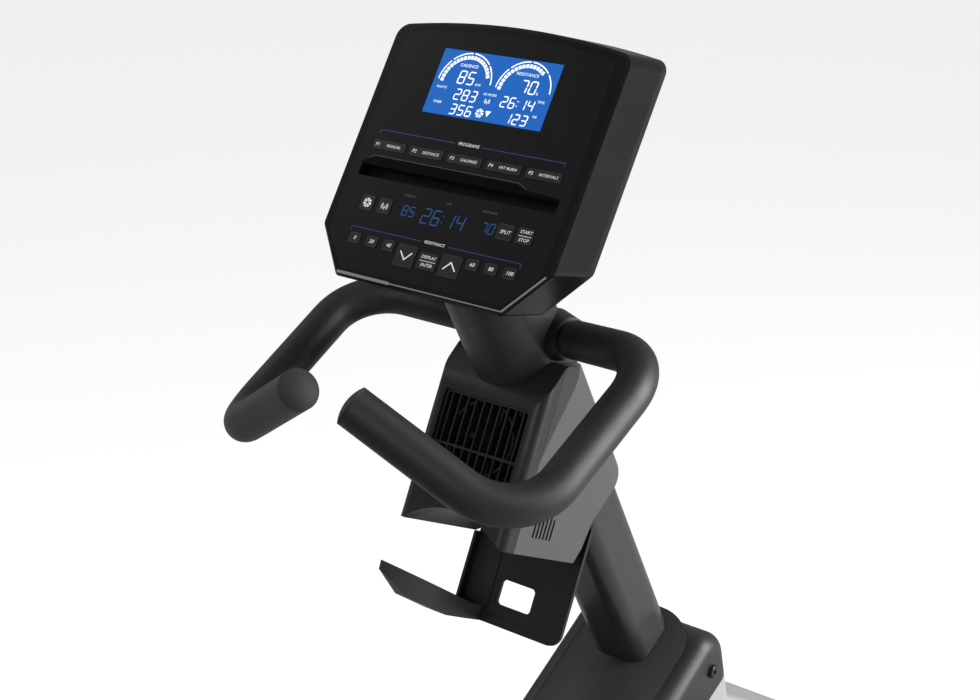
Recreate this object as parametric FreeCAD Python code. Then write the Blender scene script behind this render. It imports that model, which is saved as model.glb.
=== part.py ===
"""Recumbent exercise bike with a leaning console mast.

Frame: millimetres, +X to the rider's right, +Y away from the rider, +Z up.
The origin is the middle of the footprint, on the floor.
"""
import FreeCAD, Part
import math
import os

V = FreeCAD.Vector
X = V(1, 0, 0)
Y = V(0, 1, 0)
Z = V(0, 0, 1)
ZERO = V(0, 0, 0)

# ---------------------------------------------------------------- driving dimensions (mm)
# footprint
FRONT_STABILISER_Y = 690.0
REAR_STABILISER_Y = -744.0
STABILISER_HALF_LENGTH = 288.0
STABILISER_DEPTH = 60.0
STABILISER_HEIGHT = 45.0
FOOT_HEIGHT = 30.0
FOOT_RADIUS = 22.0
BEAM_WIDTH = 80.0
BEAM_HEIGHT = 50.0
TUBE_WALL = 3.0

# mast
MAST_LEAN = 28.3
MAST_POINT = V(0, 332.8, 613.8)
MAST_WIDTH = 66.0
MAST_DEPTH = 68.0
MAST_CORNER = 18.0
MAST_LOW = -150.0
MAST_HIGH = 235.0
NECK_TUBE_RADIUS = 24.0

# console
SCREEN_CENTRE = V(0, 110.0, 1205.0)
CONSOLE_LEAN = 34.29
SCREEN_HALF_WIDTH = 63.1
SCREEN_HALF_HEIGHT = 30.3
BEZEL_HALF_WIDTH = 124.5
BEZEL_DEPTH = 50.0
CONSOLE_CLIMB = 0.36
BACK_COVER_DEPTH = 12.0
PANEL_THICKNESS = 2.0
SLOT_LOW = -97.0
SLOT_HIGH = -86.0
SLOT_DEPTH = 15.0
SLOT_HALF_WIDTH = 106.0
KEY_GAP = 0.3
KEY_PROUD = 0.5

# handlebar
BAR_RADIUS = 15.0
BAR_WALL = 2.0
GRIP_RADIUS = 18.0
BAR_BEND = 60.0
BAR_HUB = V(0, 172.2, 969.0)
BAR_SHOULDER = V(167.0, 122.4, 991.9)
BAR_ELBOW = V(161.5, -65.8, 903.0)
BAR_END = V(30.1, -109.7, 991.4)

# fan pod
POD_LEAN = 27.5
POD_HALF_WIDTH = 61.0
POD_FRONT = 431.0
POD_SPLIT = 412.0
POD_BOTTOM = 688.0
POD_WALL = 2.5
POD_CORNER = 10.0
POD_BACK_CORNER = 45.0
POD_BACK_GAP = 3.2
GRILLE_LOW = 742.0
GRILLE_HIGH = 814.0
GRILLE_HALF_WIDTH = 47.4
FAN_RADIUS = 32.0
SPINDLE_RADIUS = 3.0

# bottle holder
HOLDER_PLATE = 288.0
HOLDER_HALF_WIDTH = 61.0
HOLDER_FLOOR = 604.0
HOLDER_SKIN = 3.0

# front body
BODY_HALF_WIDTH = 82.0
BODY_ROUND = 18.0
SKIN = 3.0
STRIP_HALF_WIDTH = 62.0
STRIP_CROWN = 13.0

# drive
CRANK_Y = 345.0
CRANK_Z = 330.0
CRANK_ARM = 170.0
CRANK_ARM_THICK = 14.0
CRANK_ARM_X = 86.0
AXLE_RADIUS = 8.5
BEARING_RADIUS = 20.0
BEARING_WIDTH = 12.0
SHELL_RADIUS = 26.0
SHELL_HALF_LENGTH = 34.0
PULLEY_RADIUS = 125.0
PULLEY_LOW_X = 41.0
PULLEY_HIGH_X = 55.0
FLYWHEEL_Y = 590.0
FLYWHEEL_Z = 240.0
FLYWHEEL_RADIUS = 100.0
FLYWHEEL_IN_X = -42.0
FLYWHEEL_OUT_X = -60.0
SMALL_PULLEY_RADIUS = 20.0
BELT_THICK = 3.0
PEDAL_LENGTH = 96.0
PEDAL_DEPTH = 104.0
PEDAL_HEIGHT = 26.0
PEDAL_SPINDLE = 7.0

# seat
RAIL_SLOPE = 9.0
RAIL_FRONT = V(0, 215.0, 300.0)
RAIL_LENGTH = 915.0
RAIL_WIDTH = 60.0
RAIL_HEIGHT = 44.0
SEAT_Y = -380.0
CARRIAGE_LENGTH = 200.0
CARRIAGE_WALL = 6.0
SEAT_HEIGHT = 508.0
SEAT_WIDTH = 430.0
SEAT_DEPTH = 330.0
SEAT_THICK = 74.0
BACK_LEAN = 18.0
BACK_FOOT = V(0, -545.0, 600.0)
BACK_WIDTH = 410.0
BACK_HEIGHT = 440.0
BACK_THICK = 64.0
SEAT_TUBE_RADIUS = 12.5
SEAT_TUBE_WALL = 2.0
HANDLE_X = 272.0
LEVER_RADIUS = 6.0

# fits
RUNNING = 0.05
SEATED = 0.02
LOOSE = 0.4
COVER_GAP = 0.3


# ---------------------------------------------------------------- helpers
def frame(origin, along, across):
    """A working frame: origin, first axis, second axis, normal."""
    return (origin, along, across, along.cross(across))


def at(work, a, b, n=0.0):
    """Point of a working frame."""
    origin, along, across, normal = work
    return origin + along * a + across * b + normal * n


def corner_arc(before, corner, after, radius):
    """Start, middle and end of the arc that rounds one corner."""
    to_before = (before - corner).normalize()
    to_after = (after - corner).normalize()
    half = to_before.getAngle(to_after) / 2.0
    reach = radius / math.tan(half)
    middle = (to_before + to_after).normalize()
    return (
        corner + to_before * reach,
        corner + middle * (radius / math.sin(half) - radius),
        corner + to_after * reach,
    )


def rounded_wire(points, closed=True):
    """Straight runs joined by tangent arcs; each point is (vector, radius)."""
    edges = []
    count = len(points)
    first = None
    last = None
    for index in range(count):
        corner, radius = points[index]
        inside = closed or 0 < index < count - 1
        if inside and radius > 0:
            before = points[index - 1][0]
            after = points[(index + 1) % count][0]
            start, middle, end = corner_arc(before, corner, after, radius)
        else:
            start, middle, end = corner, None, corner
        if last is not None and last.distanceToPoint(start) > 1e-6:
            edges.append(Part.makeLine(last, start))
        if middle is not None:
            edges.append(Part.Arc(start, middle, end).toShape())
        if first is None:
            first = start
        last = end
    if closed and last.distanceToPoint(first) > 1e-6:
        edges.append(Part.makeLine(last, first))
    return Part.Wire(edges)


def slab(work, corners, low, high):
    """Prism of a rounded outline; corners are (a, b) or (a, b, radius)."""
    points = []
    for corner in corners:
        radius = corner[2] if len(corner) > 2 else 0.0
        points.append((at(work, corner[0], corner[1], low), radius))
    face = Part.Face(rounded_wire(points))
    return face.extrude(work[3] * (high - low))


def oblong(half_a, half_b, radius, centre_a=0.0, centre_b=0.0):
    """Corners of a rounded rectangle."""
    return [
        (centre_a - half_a, centre_b - half_b, radius),
        (centre_a + half_a, centre_b - half_b, radius),
        (centre_a + half_a, centre_b + half_b, radius),
        (centre_a - half_a, centre_b + half_b, radius),
    ]


def block(low, high):
    """Box between two corners."""
    size = high - low
    return Part.makeBox(size.x, size.y, size.z, low)


def rod(radius, start, end):
    """Cylinder from start to end."""
    reach = end - start
    return Part.makeCylinder(radius, reach.Length, start, reach)


def ring(outer, inner, start, end):
    """Hollow cylinder from start to end."""
    return rod(outer, start, end).cut(rod(inner, start, end))


def sweep(wire, radius):
    """Round bar along a path of straight runs and tangent arcs."""
    first = wire.OrderedEdges[0]
    start = first.valueAt(first.FirstParameter)
    tangent = first.tangentAt(first.FirstParameter)
    circle = Part.Wire(Part.makeCircle(radius, start, tangent))
    return wire.makePipeShell([circle], True, False)


def pipe(wire, outer, inner):
    """Hollow tube along a path."""
    return sweep(wire, outer).cut(sweep(wire, inner))


def fuse(*shapes):
    """One solid from overlapping ones."""
    joined = shapes[0].multiFuse(list(shapes[1:]))
    return joined.removeSplitter()


def mirrored(shape):
    """The same shape on the other side of the bike."""
    return shape.mirror(ZERO, X)


def mirror_point(point):
    return V(-point.x, point.y, point.z)


# ---------------------------------------------------------------- working frames
lean = math.radians(MAST_LEAN)
MAST_UP = V(0, -math.sin(lean), math.cos(lean))
MAST_FORE = V(0, math.cos(lean), math.sin(lean))
MAST = frame(MAST_POINT, X, MAST_FORE)

tilt = math.radians(CONSOLE_LEAN)
CONSOLE_UP = V(0, math.sin(tilt), math.cos(tilt))
CONSOLE = frame(SCREEN_CENTRE, X, CONSOLE_UP)

pod_tilt = math.radians(POD_LEAN)
POD_OUT = V(0, -math.cos(pod_tilt), math.sin(pod_tilt))
POD_UP = V(0, math.sin(pod_tilt), math.cos(pod_tilt))
POD_ORIGIN = V(0, SCREEN_CENTRE.y, 0)
POD_SIDE = frame(POD_ORIGIN, POD_OUT, POD_UP)
POD_PLAN = frame(POD_ORIGIN, POD_OUT, X)
POD_FACE = frame(POD_ORIGIN, X, POD_UP)

SIDE = frame(ZERO, Y, Z)

slope = math.radians(RAIL_SLOPE)
RAIL_BACK = V(0, -math.cos(slope), math.sin(slope))
RAIL_UP = V(0, math.sin(slope), math.cos(slope))
RAIL = frame(RAIL_FRONT, X, RAIL_UP)
RAIL_SIDE = frame(RAIL_FRONT, RAIL_BACK, RAIL_UP)

back_tilt = math.radians(BACK_LEAN)
BACK_UP = V(0, -math.sin(back_tilt), math.cos(back_tilt))
BACK = frame(BACK_FOOT, X, BACK_UP)

CRANK = V(0, CRANK_Y, CRANK_Z)
FLYWHEEL = V(0, FLYWHEEL_Y, FLYWHEEL_Z)
STABILISER_TOP = FOOT_HEIGHT + STABILISER_HEIGHT
BEAM_TOP = STABILISER_TOP + BEAM_HEIGHT


# ---------------------------------------------------------------- console
RIM = [
    (-90, -190, 6),
    (90, -190, 6),
    (BEZEL_HALF_WIDTH, -147, 8),
    (BEZEL_HALF_WIDTH, 46.5, 14),
    (0, 65, 700),
    (-BEZEL_HALF_WIDTH, 46.5, 14),
    (-BEZEL_HALF_WIDTH, -147, 8),
]
PANEL = [
    (-87, -181.5, 3),
    (87, -181.5, 3),
    (115, -151, 3),
    (116, -87, 3),
    (111, 40.5, 4),
    (0, 57, 690),
    (-111, 40.5, 4),
    (-116, -87, 3),
    (-115, -151, 3),
]
BEZEL_BEVEL = 2.5
BEZEL_WALL = 3.0
BEZEL_FRONT = 6.0
LEDGE = 5.0
BOARD_FRONT = -6.0
BOARD_THICKNESS = 1.6
BACK_PLANE = -(BEZEL_DEPTH + BACK_COVER_DEPTH)
BACK_BEVEL = 5.0
KEY_FLANGE = 1.2
# name: centre x, centre u, width, height
KEYS = {
    "key_fan": (-83.5, -120.5, 14, 14),
    "key_wireless": (-64, -120.5, 14, 14),
    "key_split": (66, -120.5, 16, 14),
    "key_start_stop": (86, -120.5, 16, 14),
    "key_level_down": (-23.5, -159, 21, 20),
    "key_level_up": (25, -159, 21, 20),
    "key_display_enter": (1, -159.5, 20, 15),
}
PROGRAM_KEY_PITCH = 41.4
for number in range(5):
    KEYS["key_program_%d" % (number + 1)] = ((number - 2) * PROGRAM_KEY_PITCH, -67, 36, 8.5)
LEVEL_KEY_PITCH = 19.2
LEVEL_KEY_START = 46.0
for step in range(3):
    reach = LEVEL_KEY_START + step * LEVEL_KEY_PITCH
    KEYS["key_level_%d" % (60 + 20 * step)] = (reach, -153.5, 12.5, 10)
    KEYS["key_level_%d" % (40 - 20 * step)] = (-reach + 1.5, -153.5, 12.5, 10)


def inset(corners, work, distance, low, high):
    """Prism of an outline drawn in by a distance, or out when it is negative."""
    points = [(at(work, a, b, low), radius) for a, b, radius in corners]
    wire = rounded_wire(points).makeOffset2D(-distance)
    return Part.Face(wire).extrude(work[3] * (high - low))


def leaning(corners, distance, low, high):
    """Console prism, drawn in by a distance, whose outline climbs towards the back."""
    climb = CONSOLE[2] * CONSOLE_CLIMB
    wire = rounded_wire([(at(CONSOLE, a, b, low) - climb * low, radius) for a, b, radius in corners])
    if distance:
        wire = wire.makeOffset2D(-distance)
    return Part.Face(wire).extrude((CONSOLE[3] - climb) * (high - low))


def edges_at(shape, work, level):
    """Edges that lie in one plane of a working frame."""
    origin, normal = work[0], work[3]
    found = []
    for edge in shape.Edges:
        ends = [vertex.Point for vertex in edge.Vertexes]
        if all(abs((point - origin).dot(normal) - level) < 1e-4 for point in ends):
            found.append(edge)
    return found


def slot_cut(gap, low, high):
    """The tablet slot, with a gap all round."""
    half = SLOT_HALF_WIDTH + gap
    middle = (SLOT_LOW + SLOT_HIGH) / 2.0
    return slab(CONSOLE, oblong(half, SLOT_HIGH - middle + gap, 1.0, 0, middle), low, high)


def console_bezel():
    outer = leaning(RIM, 0, -BEZEL_DEPTH, 0)
    outer = outer.makeChamfer(BEZEL_BEVEL, edges_at(outer, CONSOLE, 0))
    cavity = leaning(RIM, BEZEL_WALL, -BEZEL_DEPTH - 1, -BEZEL_FRONT)
    pocket = inset(PANEL, CONSOLE, -COVER_GAP / 2, -PANEL_THICKNESS, 1)
    window = inset(PANEL, CONSOLE, LEDGE, -BEZEL_FRONT - 1, 1)
    frame_ring = outer.cut([cavity, pocket, window])
    middle = (SLOT_LOW + SLOT_HIGH) / 2.0
    trough_half = SLOT_HALF_WIDTH + LEDGE + TUBE_WALL
    trough_rise = (SLOT_HIGH - SLOT_LOW) / 2.0 + TUBE_WALL
    trough = slab(
        CONSOLE,
        oblong(trough_half, trough_rise, 1.0, 0, middle),
        -SLOT_DEPTH - TUBE_WALL,
        -PANEL_THICKNESS,
    )
    return fuse(frame_ring, trough).cut(slot_cut(0, -SLOT_DEPTH, 1))


def console_back_cover():
    shell = leaning(RIM, 0, BACK_PLANE, -BEZEL_DEPTH)
    shell = shell.makeChamfer(BACK_BEVEL, edges_at(shell, CONSOLE, BACK_PLANE))
    hollow = leaning(RIM, BACK_BEVEL + BEZEL_WALL, BACK_PLANE + BEZEL_WALL, -BEZEL_DEPTH + 1)
    return shell.cut(hollow)


def key_outline(name, gap):
    x, u, width, height = KEYS[name]
    return oblong(width / 2.0 + gap, height / 2.0 + gap, 1.5 + max(gap, 0), x, u)


def display_panel():
    panel = slab(CONSOLE, PANEL, -PANEL_THICKNESS, 0)
    screen = oblong(SCREEN_HALF_WIDTH + COVER_GAP, SCREEN_HALF_HEIGHT + COVER_GAP, 0.8)
    cuts = [slab(CONSOLE, screen, -PANEL_THICKNESS - 1, 1), slot_cut(0, -PANEL_THICKNESS - 1, 1)]
    for name in KEYS:
        cuts.append(slab(CONSOLE, key_outline(name, KEY_GAP), -PANEL_THICKNESS - 1, 1))
    return panel.cut(cuts)


def key(name):
    """A cap in its hole, held behind the panel by a flange."""
    flange_top = -PANEL_THICKNESS - KEY_GAP / 2
    cap = slab(CONSOLE, key_outline(name, 0), flange_top - 1, KEY_PROUD)
    flange = slab(CONSOLE, key_outline(name, KEY_FLANGE), flange_top - 1, flange_top)
    return fuse(cap, flange)


def lcd_screen():
    glass = oblong(SCREEN_HALF_WIDTH, SCREEN_HALF_HEIGHT, 0.5)
    return slab(CONSOLE, glass, BOARD_FRONT + SEATED, -KEY_GAP / 2)


def circuit_board():
    board = inset(PANEL, CONSOLE, LEDGE + 4, BOARD_FRONT - BOARD_THICKNESS, BOARD_FRONT)
    middle = (SLOT_LOW + SLOT_HIGH) / 2.0
    gap = oblong(130, (SLOT_HIGH - SLOT_LOW) / 2.0 + TUBE_WALL + 1, 0, 0, middle)
    return board.cut(slab(CONSOLE, gap, BOARD_FRONT - 5, BOARD_FRONT + 5))


# ---------------------------------------------------------------- mast, neck and handlebar
NECK_OFFSET = -12.0
NECK_PLATE = 4.0
NECK_PLATE_HALF = 30.0
SLEEVE_HALF_WIDTH = 41.0
SLEEVE_HALF_DEPTH = 46.0
SLEEVE_CENTRE = 3.0
SLEEVE_WALL = 2.5
STUB_HIGH = -50.0


def bar_path(points):
    return rounded_wire([(point, BAR_BEND) for point in points], closed=False)


def whole_bar():
    right = [BAR_HUB, BAR_SHOULDER, BAR_ELBOW, BAR_END]
    left = [mirror_point(point) for point in reversed(right[1:])]
    return bar_path(left + right)


def on_plane(start, direction, level):
    """Where a line meets a plane of the console."""
    target = at(CONSOLE, 0, 0, level)
    travel = (target - start).dot(CONSOLE[3]) / direction.dot(CONSOLE[3])
    return start + direction * travel


def neck_plate_outline(grow):
    """The plate that joins the neck tube to the console's back."""
    foot = at(MAST, 0, NECK_OFFSET, 0)
    head = on_plane(foot, MAST_UP, BACK_PLANE)
    head_u = (head - SCREEN_CENTRE).dot(CONSOLE_UP)
    return oblong(NECK_PLATE_HALF + grow, NECK_PLATE_HALF + grow, 6, 0, head_u)


def mast_tube():
    outer = oblong(MAST_WIDTH / 2, MAST_DEPTH / 2, MAST_CORNER)
    wall = TUBE_WALL
    inner = oblong(MAST_WIDTH / 2 - wall, MAST_DEPTH / 2 - wall, MAST_CORNER - wall)
    lower = slab(MAST, outer, MAST_LOW, MAST_HIGH)
    bore = slab(MAST, inner, MAST_LOW - 1, MAST_HIGH - 2 * wall)
    foot = at(MAST, 0, NECK_OFFSET, MAST_HIGH - wall)
    plate_back = BACK_PLANE - NECK_PLATE
    neck = rod(NECK_TUBE_RADIUS, foot, on_plane(foot, MAST_UP, plate_back + 40))
    stop = slab(CONSOLE, oblong(200, 200, 0, 0, 0), plate_back + 1, 200)
    plate = slab(CONSOLE, neck_plate_outline(0), plate_back, BACK_PLANE)
    saddle = sweep(whole_bar(), BAR_RADIUS + SEATED)
    return fuse(lower, neck.cut(stop), plate).cut([bore, saddle])


def sleeve(half_width, half_depth, low, high):
    radius = min(half_width, half_depth) - 4.0
    return slab(MAST, oblong(half_width, half_depth, radius, 0, SLEEVE_CENTRE), low, high)


def neck_cover():
    low, high = 300.0, 620.0
    outer = sleeve(SLEEVE_HALF_WIDTH, SLEEVE_HALF_DEPTH, low, high)
    inner = sleeve(SLEEVE_HALF_WIDTH - SLEEVE_WALL, SLEEVE_HALF_DEPTH - SLEEVE_WALL, low - 1, high + 1)
    reach = (BAR_SHOULDER - BAR_HUB).normalize()
    start = BAR_HUB + reach * 34.0
    collar = Part.makeCone(25.0, 19.5, 24.0, start, reach)
    collars = [collar, mirrored(collar)]
    below_console = slab(CONSOLE, oblong(300, 400, 0, 0, -300), -500, BACK_PLANE - 0.1)
    shell = fuse(outer, *collars).cut(inner).common(below_console)
    plate_gap = slab(CONSOLE, neck_plate_outline(COVER_GAP), BACK_PLANE - NECK_PLATE - 1, BACK_PLANE)
    bar = sweep(whole_bar(), BAR_RADIUS + COVER_GAP)
    shell = shell.cut([pod_outer(-COVER_GAP), bar, plate_gap])
    return max(shell.Solids, key=lambda solid: solid.Volume)


def handlebar_tube():
    return pipe(whole_bar(), BAR_RADIUS, BAR_RADIUS - BAR_WALL)


def grip_start():
    """Where the grip begins, outside the neck's collar."""
    reach = (BAR_SHOULDER - BAR_HUB).normalize()
    return BAR_HUB + reach * 64.0


def handlebar_grips():
    path = bar_path([grip_start(), BAR_SHOULDER, BAR_ELBOW, BAR_END])
    grip = pipe(path, GRIP_RADIUS, BAR_RADIUS + SEATED)
    return Part.makeCompound([grip, mirrored(grip)])


def handlebar_end_caps():
    out = (BAR_END - BAR_ELBOW).normalize()
    rim, rise, insert = 2.5, 5.0, 14.0
    ball = (GRIP_RADIUS ** 2 + rise ** 2) / (2 * rise)
    dome = Part.makeSphere(ball, BAR_END + out * (rim + rise - ball))
    crown = dome.common(rod(GRIP_RADIUS, BAR_END + out * rim, BAR_END + out * (rim + rise + 1)))
    disc = rod(GRIP_RADIUS, BAR_END + out * SEATED, BAR_END + out * rim)
    plug = rod(BAR_RADIUS - BAR_WALL - SEATED, BAR_END - out * insert, BAR_END + out * rim)
    cap = fuse(crown, disc, plug)
    return Part.makeCompound([cap, mirrored(cap)])


# ---------------------------------------------------------------- fan pod and bottle holder
POD_PROFILE = [
    (POD_FRONT, POD_BOTTOM, 5),
    (POD_FRONT, 826, 30),
    (412, 862, 10),
    (300, 880, 10),
    (248, 798, 4),
    (291, 731, 4),
    (297, 703, 4),
    (305, POD_BOTTOM, 2),
]
ARCH_RADIUS = 82.0
ARCH_TOP = 709.0
FAN_CENTRE = (GRILLE_LOW + GRILLE_HIGH) / 2.0
FAN_BACK = 404.0
FAN_FRONT = 418.0
DUCT_BACK = 400.0
GRILLE_BACK = 422.0
GRILLE_FACE = 427.5
RIB_PITCH = 9.0
RIB_THICKNESS = 1.3
VENT_PITCH = 6.0
VENT_WIDTH = 3.0
GRILLE_BAR_RISE = 23.0
DUCT_GAP = 2.0
DUCT_WALL = 1.5
ARM_HALF_WIDTH = 2.5


def pod_outer(wall):
    """The pod's full shape, drawn in by a wall all round."""
    half = POD_HALF_WIDTH - wall
    side = inset(POD_PROFILE, POD_SIDE, wall, -half, half)
    front = POD_FRONT - wall
    plan = [(200, -half, 0), (front, -half, POD_CORNER), (front, half, POD_CORNER), (200, half, 0)]
    facing = slab(POD_PLAN, plan, 600, 950)
    back = MAST_DEPTH / 2 + POD_BACK_GAP - wall
    round_back = POD_BACK_CORNER - wall
    hug = [(-half, -400, 0), (half, -400, 0), (half, back, round_back), (-half, back, round_back)]
    around_mast = slab(MAST, hug, -100, 600)
    body = side.common(facing).common(around_mast)
    arch_centre = ARCH_TOP - ARCH_RADIUS
    arch = rod(ARCH_RADIUS + wall, at(POD_SIDE, 200, arch_centre), at(POD_SIDE, 500, arch_centre))
    return body.cut(arch)


def pod_half(low, high):
    """The pod's shell between two depths."""
    keep = slab(POD_FACE, oblong(100, 200, 0, 0, 750), low, high)
    neck = at(MAST, 0, NECK_OFFSET, 0)
    neck_hole = rod(NECK_TUBE_RADIUS + 1.0, neck + MAST_UP * 200, neck + MAST_UP * 460)
    gap = LOOSE
    opening = oblong(MAST_WIDTH / 2 + gap, MAST_DEPTH / 2 + gap, MAST_CORNER + gap)
    mast_hole = slab(MAST, opening, 100, MAST_HIGH + 2)
    shell = pod_outer(0).cut(pod_outer(POD_WALL)).common(keep)
    return shell.cut([neck_hole, mast_hole])


def fan_front_cover():
    half = (GRILLE_HIGH - GRILLE_LOW) / 2
    window = oblong(GRILLE_HALF_WIDTH + COVER_GAP, half + COVER_GAP, 3, 0, FAN_CENTRE)
    return pod_half(POD_SPLIT + 0.2, 440).cut(slab(POD_FACE, window, 405, 440))


def fan_side_cover():
    shell = pod_half(200, POD_SPLIT - 0.2)
    vents = []
    for number in range(6):
        s = 357 + number * VENT_PITCH
        top = 724 + number * 3.0
        slit = [(s, 705), (s + VENT_WIDTH, 705), (s + VENT_WIDTH, top + 1.5), (s, top)]
        vents.append(slab(POD_SIDE, slit, -70, 70))
    return max(shell.cut(vents).Solids, key=lambda solid: solid.Volume)


def fan_grille():
    """Grille with the fan's duct, its four arms and the spindle behind it."""
    half_height = (GRILLE_HIGH - GRILLE_LOW) / 2
    border = 2.0
    outline = oblong(GRILLE_HALF_WIDTH, half_height, 3, 0, FAN_CENTRE)
    hole = oblong(GRILLE_HALF_WIDTH - border, half_height - border, 2, 0, FAN_CENTRE)
    rim = slab(POD_FACE, outline, GRILLE_BACK, GRILLE_FACE)
    rim = rim.cut(slab(POD_FACE, hole, GRILLE_BACK - 1, GRILLE_FACE + 1))
    ribs = []
    for number in range(-4, 6):
        x = (number - 0.5) * RIB_PITCH
        rib = oblong(RIB_THICKNESS / 2, half_height - border / 2, 0, x, FAN_CENTRE)
        ribs.append(slab(POD_FACE, rib, GRILLE_BACK + 0.2, GRILLE_FACE - 0.5))
    bar = oblong(GRILLE_HALF_WIDTH - border / 2, 1.2, 0, 0, GRILLE_LOW + GRILLE_BAR_RISE)
    ribs.append(slab(POD_FACE, bar, GRILLE_BACK + 0.4, GRILLE_FACE - 0.3))
    face = fuse(rim, *ribs)

    def centre(depth):
        return at(POD_FACE, 0, FAN_CENTRE, depth)

    bore = FAN_RADIUS + DUCT_GAP
    duct = ring(bore + DUCT_WALL, bore, centre(DUCT_BACK), centre(GRILLE_BACK + 1))
    arm_back = DUCT_BACK + 0.5
    arms = []
    for half_x, half_u in ((bore + 1, ARM_HALF_WIDTH), (ARM_HALF_WIDTH, bore + 1)):
        arm = oblong(half_x, half_u, 0, 0, FAN_CENTRE)
        arms.append(slab(POD_FACE, arm, arm_back, arm_back + 2.0))
    boss = rod(9.0, centre(DUCT_BACK), centre(FAN_BACK - 0.5))
    spindle = rod(SPINDLE_RADIUS, centre(DUCT_BACK + 1), centre(FAN_FRONT))
    housing = fuse(duct, boss, spindle, *arms)
    return fuse(face, housing)


def fan_rotor():
    centre = (0, FAN_CENTRE)
    axis_low = at(POD_FACE, *centre, FAN_BACK)
    hub = rod(11.0, axis_low, at(POD_FACE, *centre, FAN_FRONT))
    blades = []
    for number in range(7):
        blade = Part.makeBox(FAN_RADIUS - 9.5, 2.0, 12.5)
        blade.translate(V(9.0, -1.0, -6.25))
        blade.rotate(ZERO, X, 40)
        blade.rotate(ZERO, Z, number * 360.0 / 7)
        blades.append(blade)
    spread = Part.makeCompound(blades)
    middle = (FAN_BACK + FAN_FRONT) / 2
    spread.Placement = FreeCAD.Placement(
        at(POD_FACE, *centre, middle), FreeCAD.Rotation(X, POD_UP, POD_OUT, "ZXY")
    )
    limit = rod(FAN_RADIUS, axis_low, at(POD_FACE, *centre, FAN_FRONT))
    wheel = fuse(hub, *[blade.common(limit) for blade in spread.Solids])
    return wheel.cut(rod(SPINDLE_RADIUS + RUNNING, axis_low - POD_OUT, at(POD_FACE, *centre, FAN_FRONT + 1)))


def bottle_holder():
    skin = HOLDER_SKIN
    half = HOLDER_HALF_WIDTH
    back = HOLDER_PLATE - 4.0
    plate_outline = [(-half, HOLDER_FLOOR, 14), (half, HOLDER_FLOOR, 14), (half, 726, 6), (-half, 726, 6)]
    plate = slab(POD_FACE, plate_outline, back, HOLDER_PLATE)
    tray = slab(POD_FACE, plate_outline, back, HOLDER_PLATE + 10)
    hollow = [
        (-half + skin, HOLDER_FLOOR + skin, 11),
        (half - skin, HOLDER_FLOOR + skin, 11),
        (half - skin, 760, 0),
        (-half + skin, 760, 0),
    ]
    rims = tray.cut(slab(POD_FACE, hollow, HOLDER_PLATE, HOLDER_PLATE + 20))
    rims = rims.cut(slab(POD_FACE, oblong(80, 30, 0, 0, 717), HOLDER_PLATE, HOLDER_PLATE + 20))
    lip_shape = [(-40, HOLDER_FLOOR, 0), (half, HOLDER_FLOOR, 14), (half, 619, 2), (-40, 624, 0)]
    lip = slab(POD_FACE, lip_shape, HOLDER_PLATE + 10, HOLDER_PLATE + 13)
    scoop = scoop_solid(0).cut(scoop_solid(skin))
    holder = fuse(plate, rims, lip, scoop)
    window = slab(POD_FACE, oblong(19.5, 12.5, 4, 0, 637.5), back - 1, HOLDER_PLATE + 1)
    panel = slab(POD_FACE, oblong(31, 31, 2, 2, 643), HOLDER_PLATE - 1, HOLDER_PLATE + 1)
    return holder.cut([window, panel])


def scoop_solid(wall):
    """The scoop's outer shape, or its hollow when a wall is given."""
    profile = [
        (HOLDER_PLATE, HOLDER_FLOOR),
        (345, 605),
        (398, 615),
        (434, 636),
        (435, 645),
        (305, 619),
        (HOLDER_PLATE, 619),
    ]
    lift = 400 if wall else 0
    points = [(s, u + wall * 1.2 + (lift if u > 618 else 0)) for s, u in profile]
    side = slab(POD_SIDE, points, 0, 100)
    start = at(POD_FACE, -HOLDER_HALF_WIDTH + wall, 500, HOLDER_PLATE)
    tip = at(POD_FACE, -HOLDER_HALF_WIDTH + wall, 500, 437 - wall * 3)
    bulge = at(POD_FACE, -40 - wall, 500, 372)
    near = at(POD_FACE, -32 - wall, 500, HOLDER_PLATE)
    edges = [Part.makeLine(start, tip), Part.Arc(tip, bulge, near).toShape(), Part.makeLine(near, start)]
    plan = Part.Face(Part.Wire(edges)).extrude(POD_UP * 700)
    return side.common(plan)


# ---------------------------------------------------------------- base frame
EAR_THICKNESS = 5.0
EAR_HALF_WIDTH = 82.0
EAR_BOLT_X = 62.0
BOLT_RADIUS = 4.0
BOLT_HEAD_RADIUS = 7.5
BOLT_HEAD_HEIGHT = 4.5
STUD_RADIUS = 5.0
FOOT_X = 250.0
WHEEL_RADIUS = 26.0
WHEEL_X = 240.0
WHEEL_HALF_WIDTH = 10.0
WHEEL_FLOOR_GAP = 3.0
CAP_LENGTH = 12.0
CAP_INSERT = 16.0
PIVOT = V(0, 716.0, 217.5)
PIVOT_RADIUS = 5.0
WEB_HALF = 4.0
POST_HALF_WIDTH = 25.0
FRONT_POST = (185.0, 235.0)
REAR_POST = (-684.0, -634.0)
STABILISERS = (FRONT_STABILISER_Y, REAR_STABILISER_Y)


def across(centre, radius, low_x, high_x):
    """Round bar along X."""
    return rod(radius, centre + X * low_x, centre + X * high_x)


def web(points, half=WEB_HALF):
    return slab(SIDE, points, -half, half)


def rail_post(low_y, high_y):
    """Upright from the beam to the underside of the rail."""
    post = block(V(-POST_HALF_WIDTH, low_y, BEAM_TOP - 4), V(POST_HALF_WIDTH, high_y, 600))
    above = [(-200, -RAIL_HEIGHT / 2), (1200, -RAIL_HEIGHT / 2), (1200, 500), (-200, 500)]
    return post.cut(slab(RAIL_SIDE, above, -100, 100))


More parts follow.
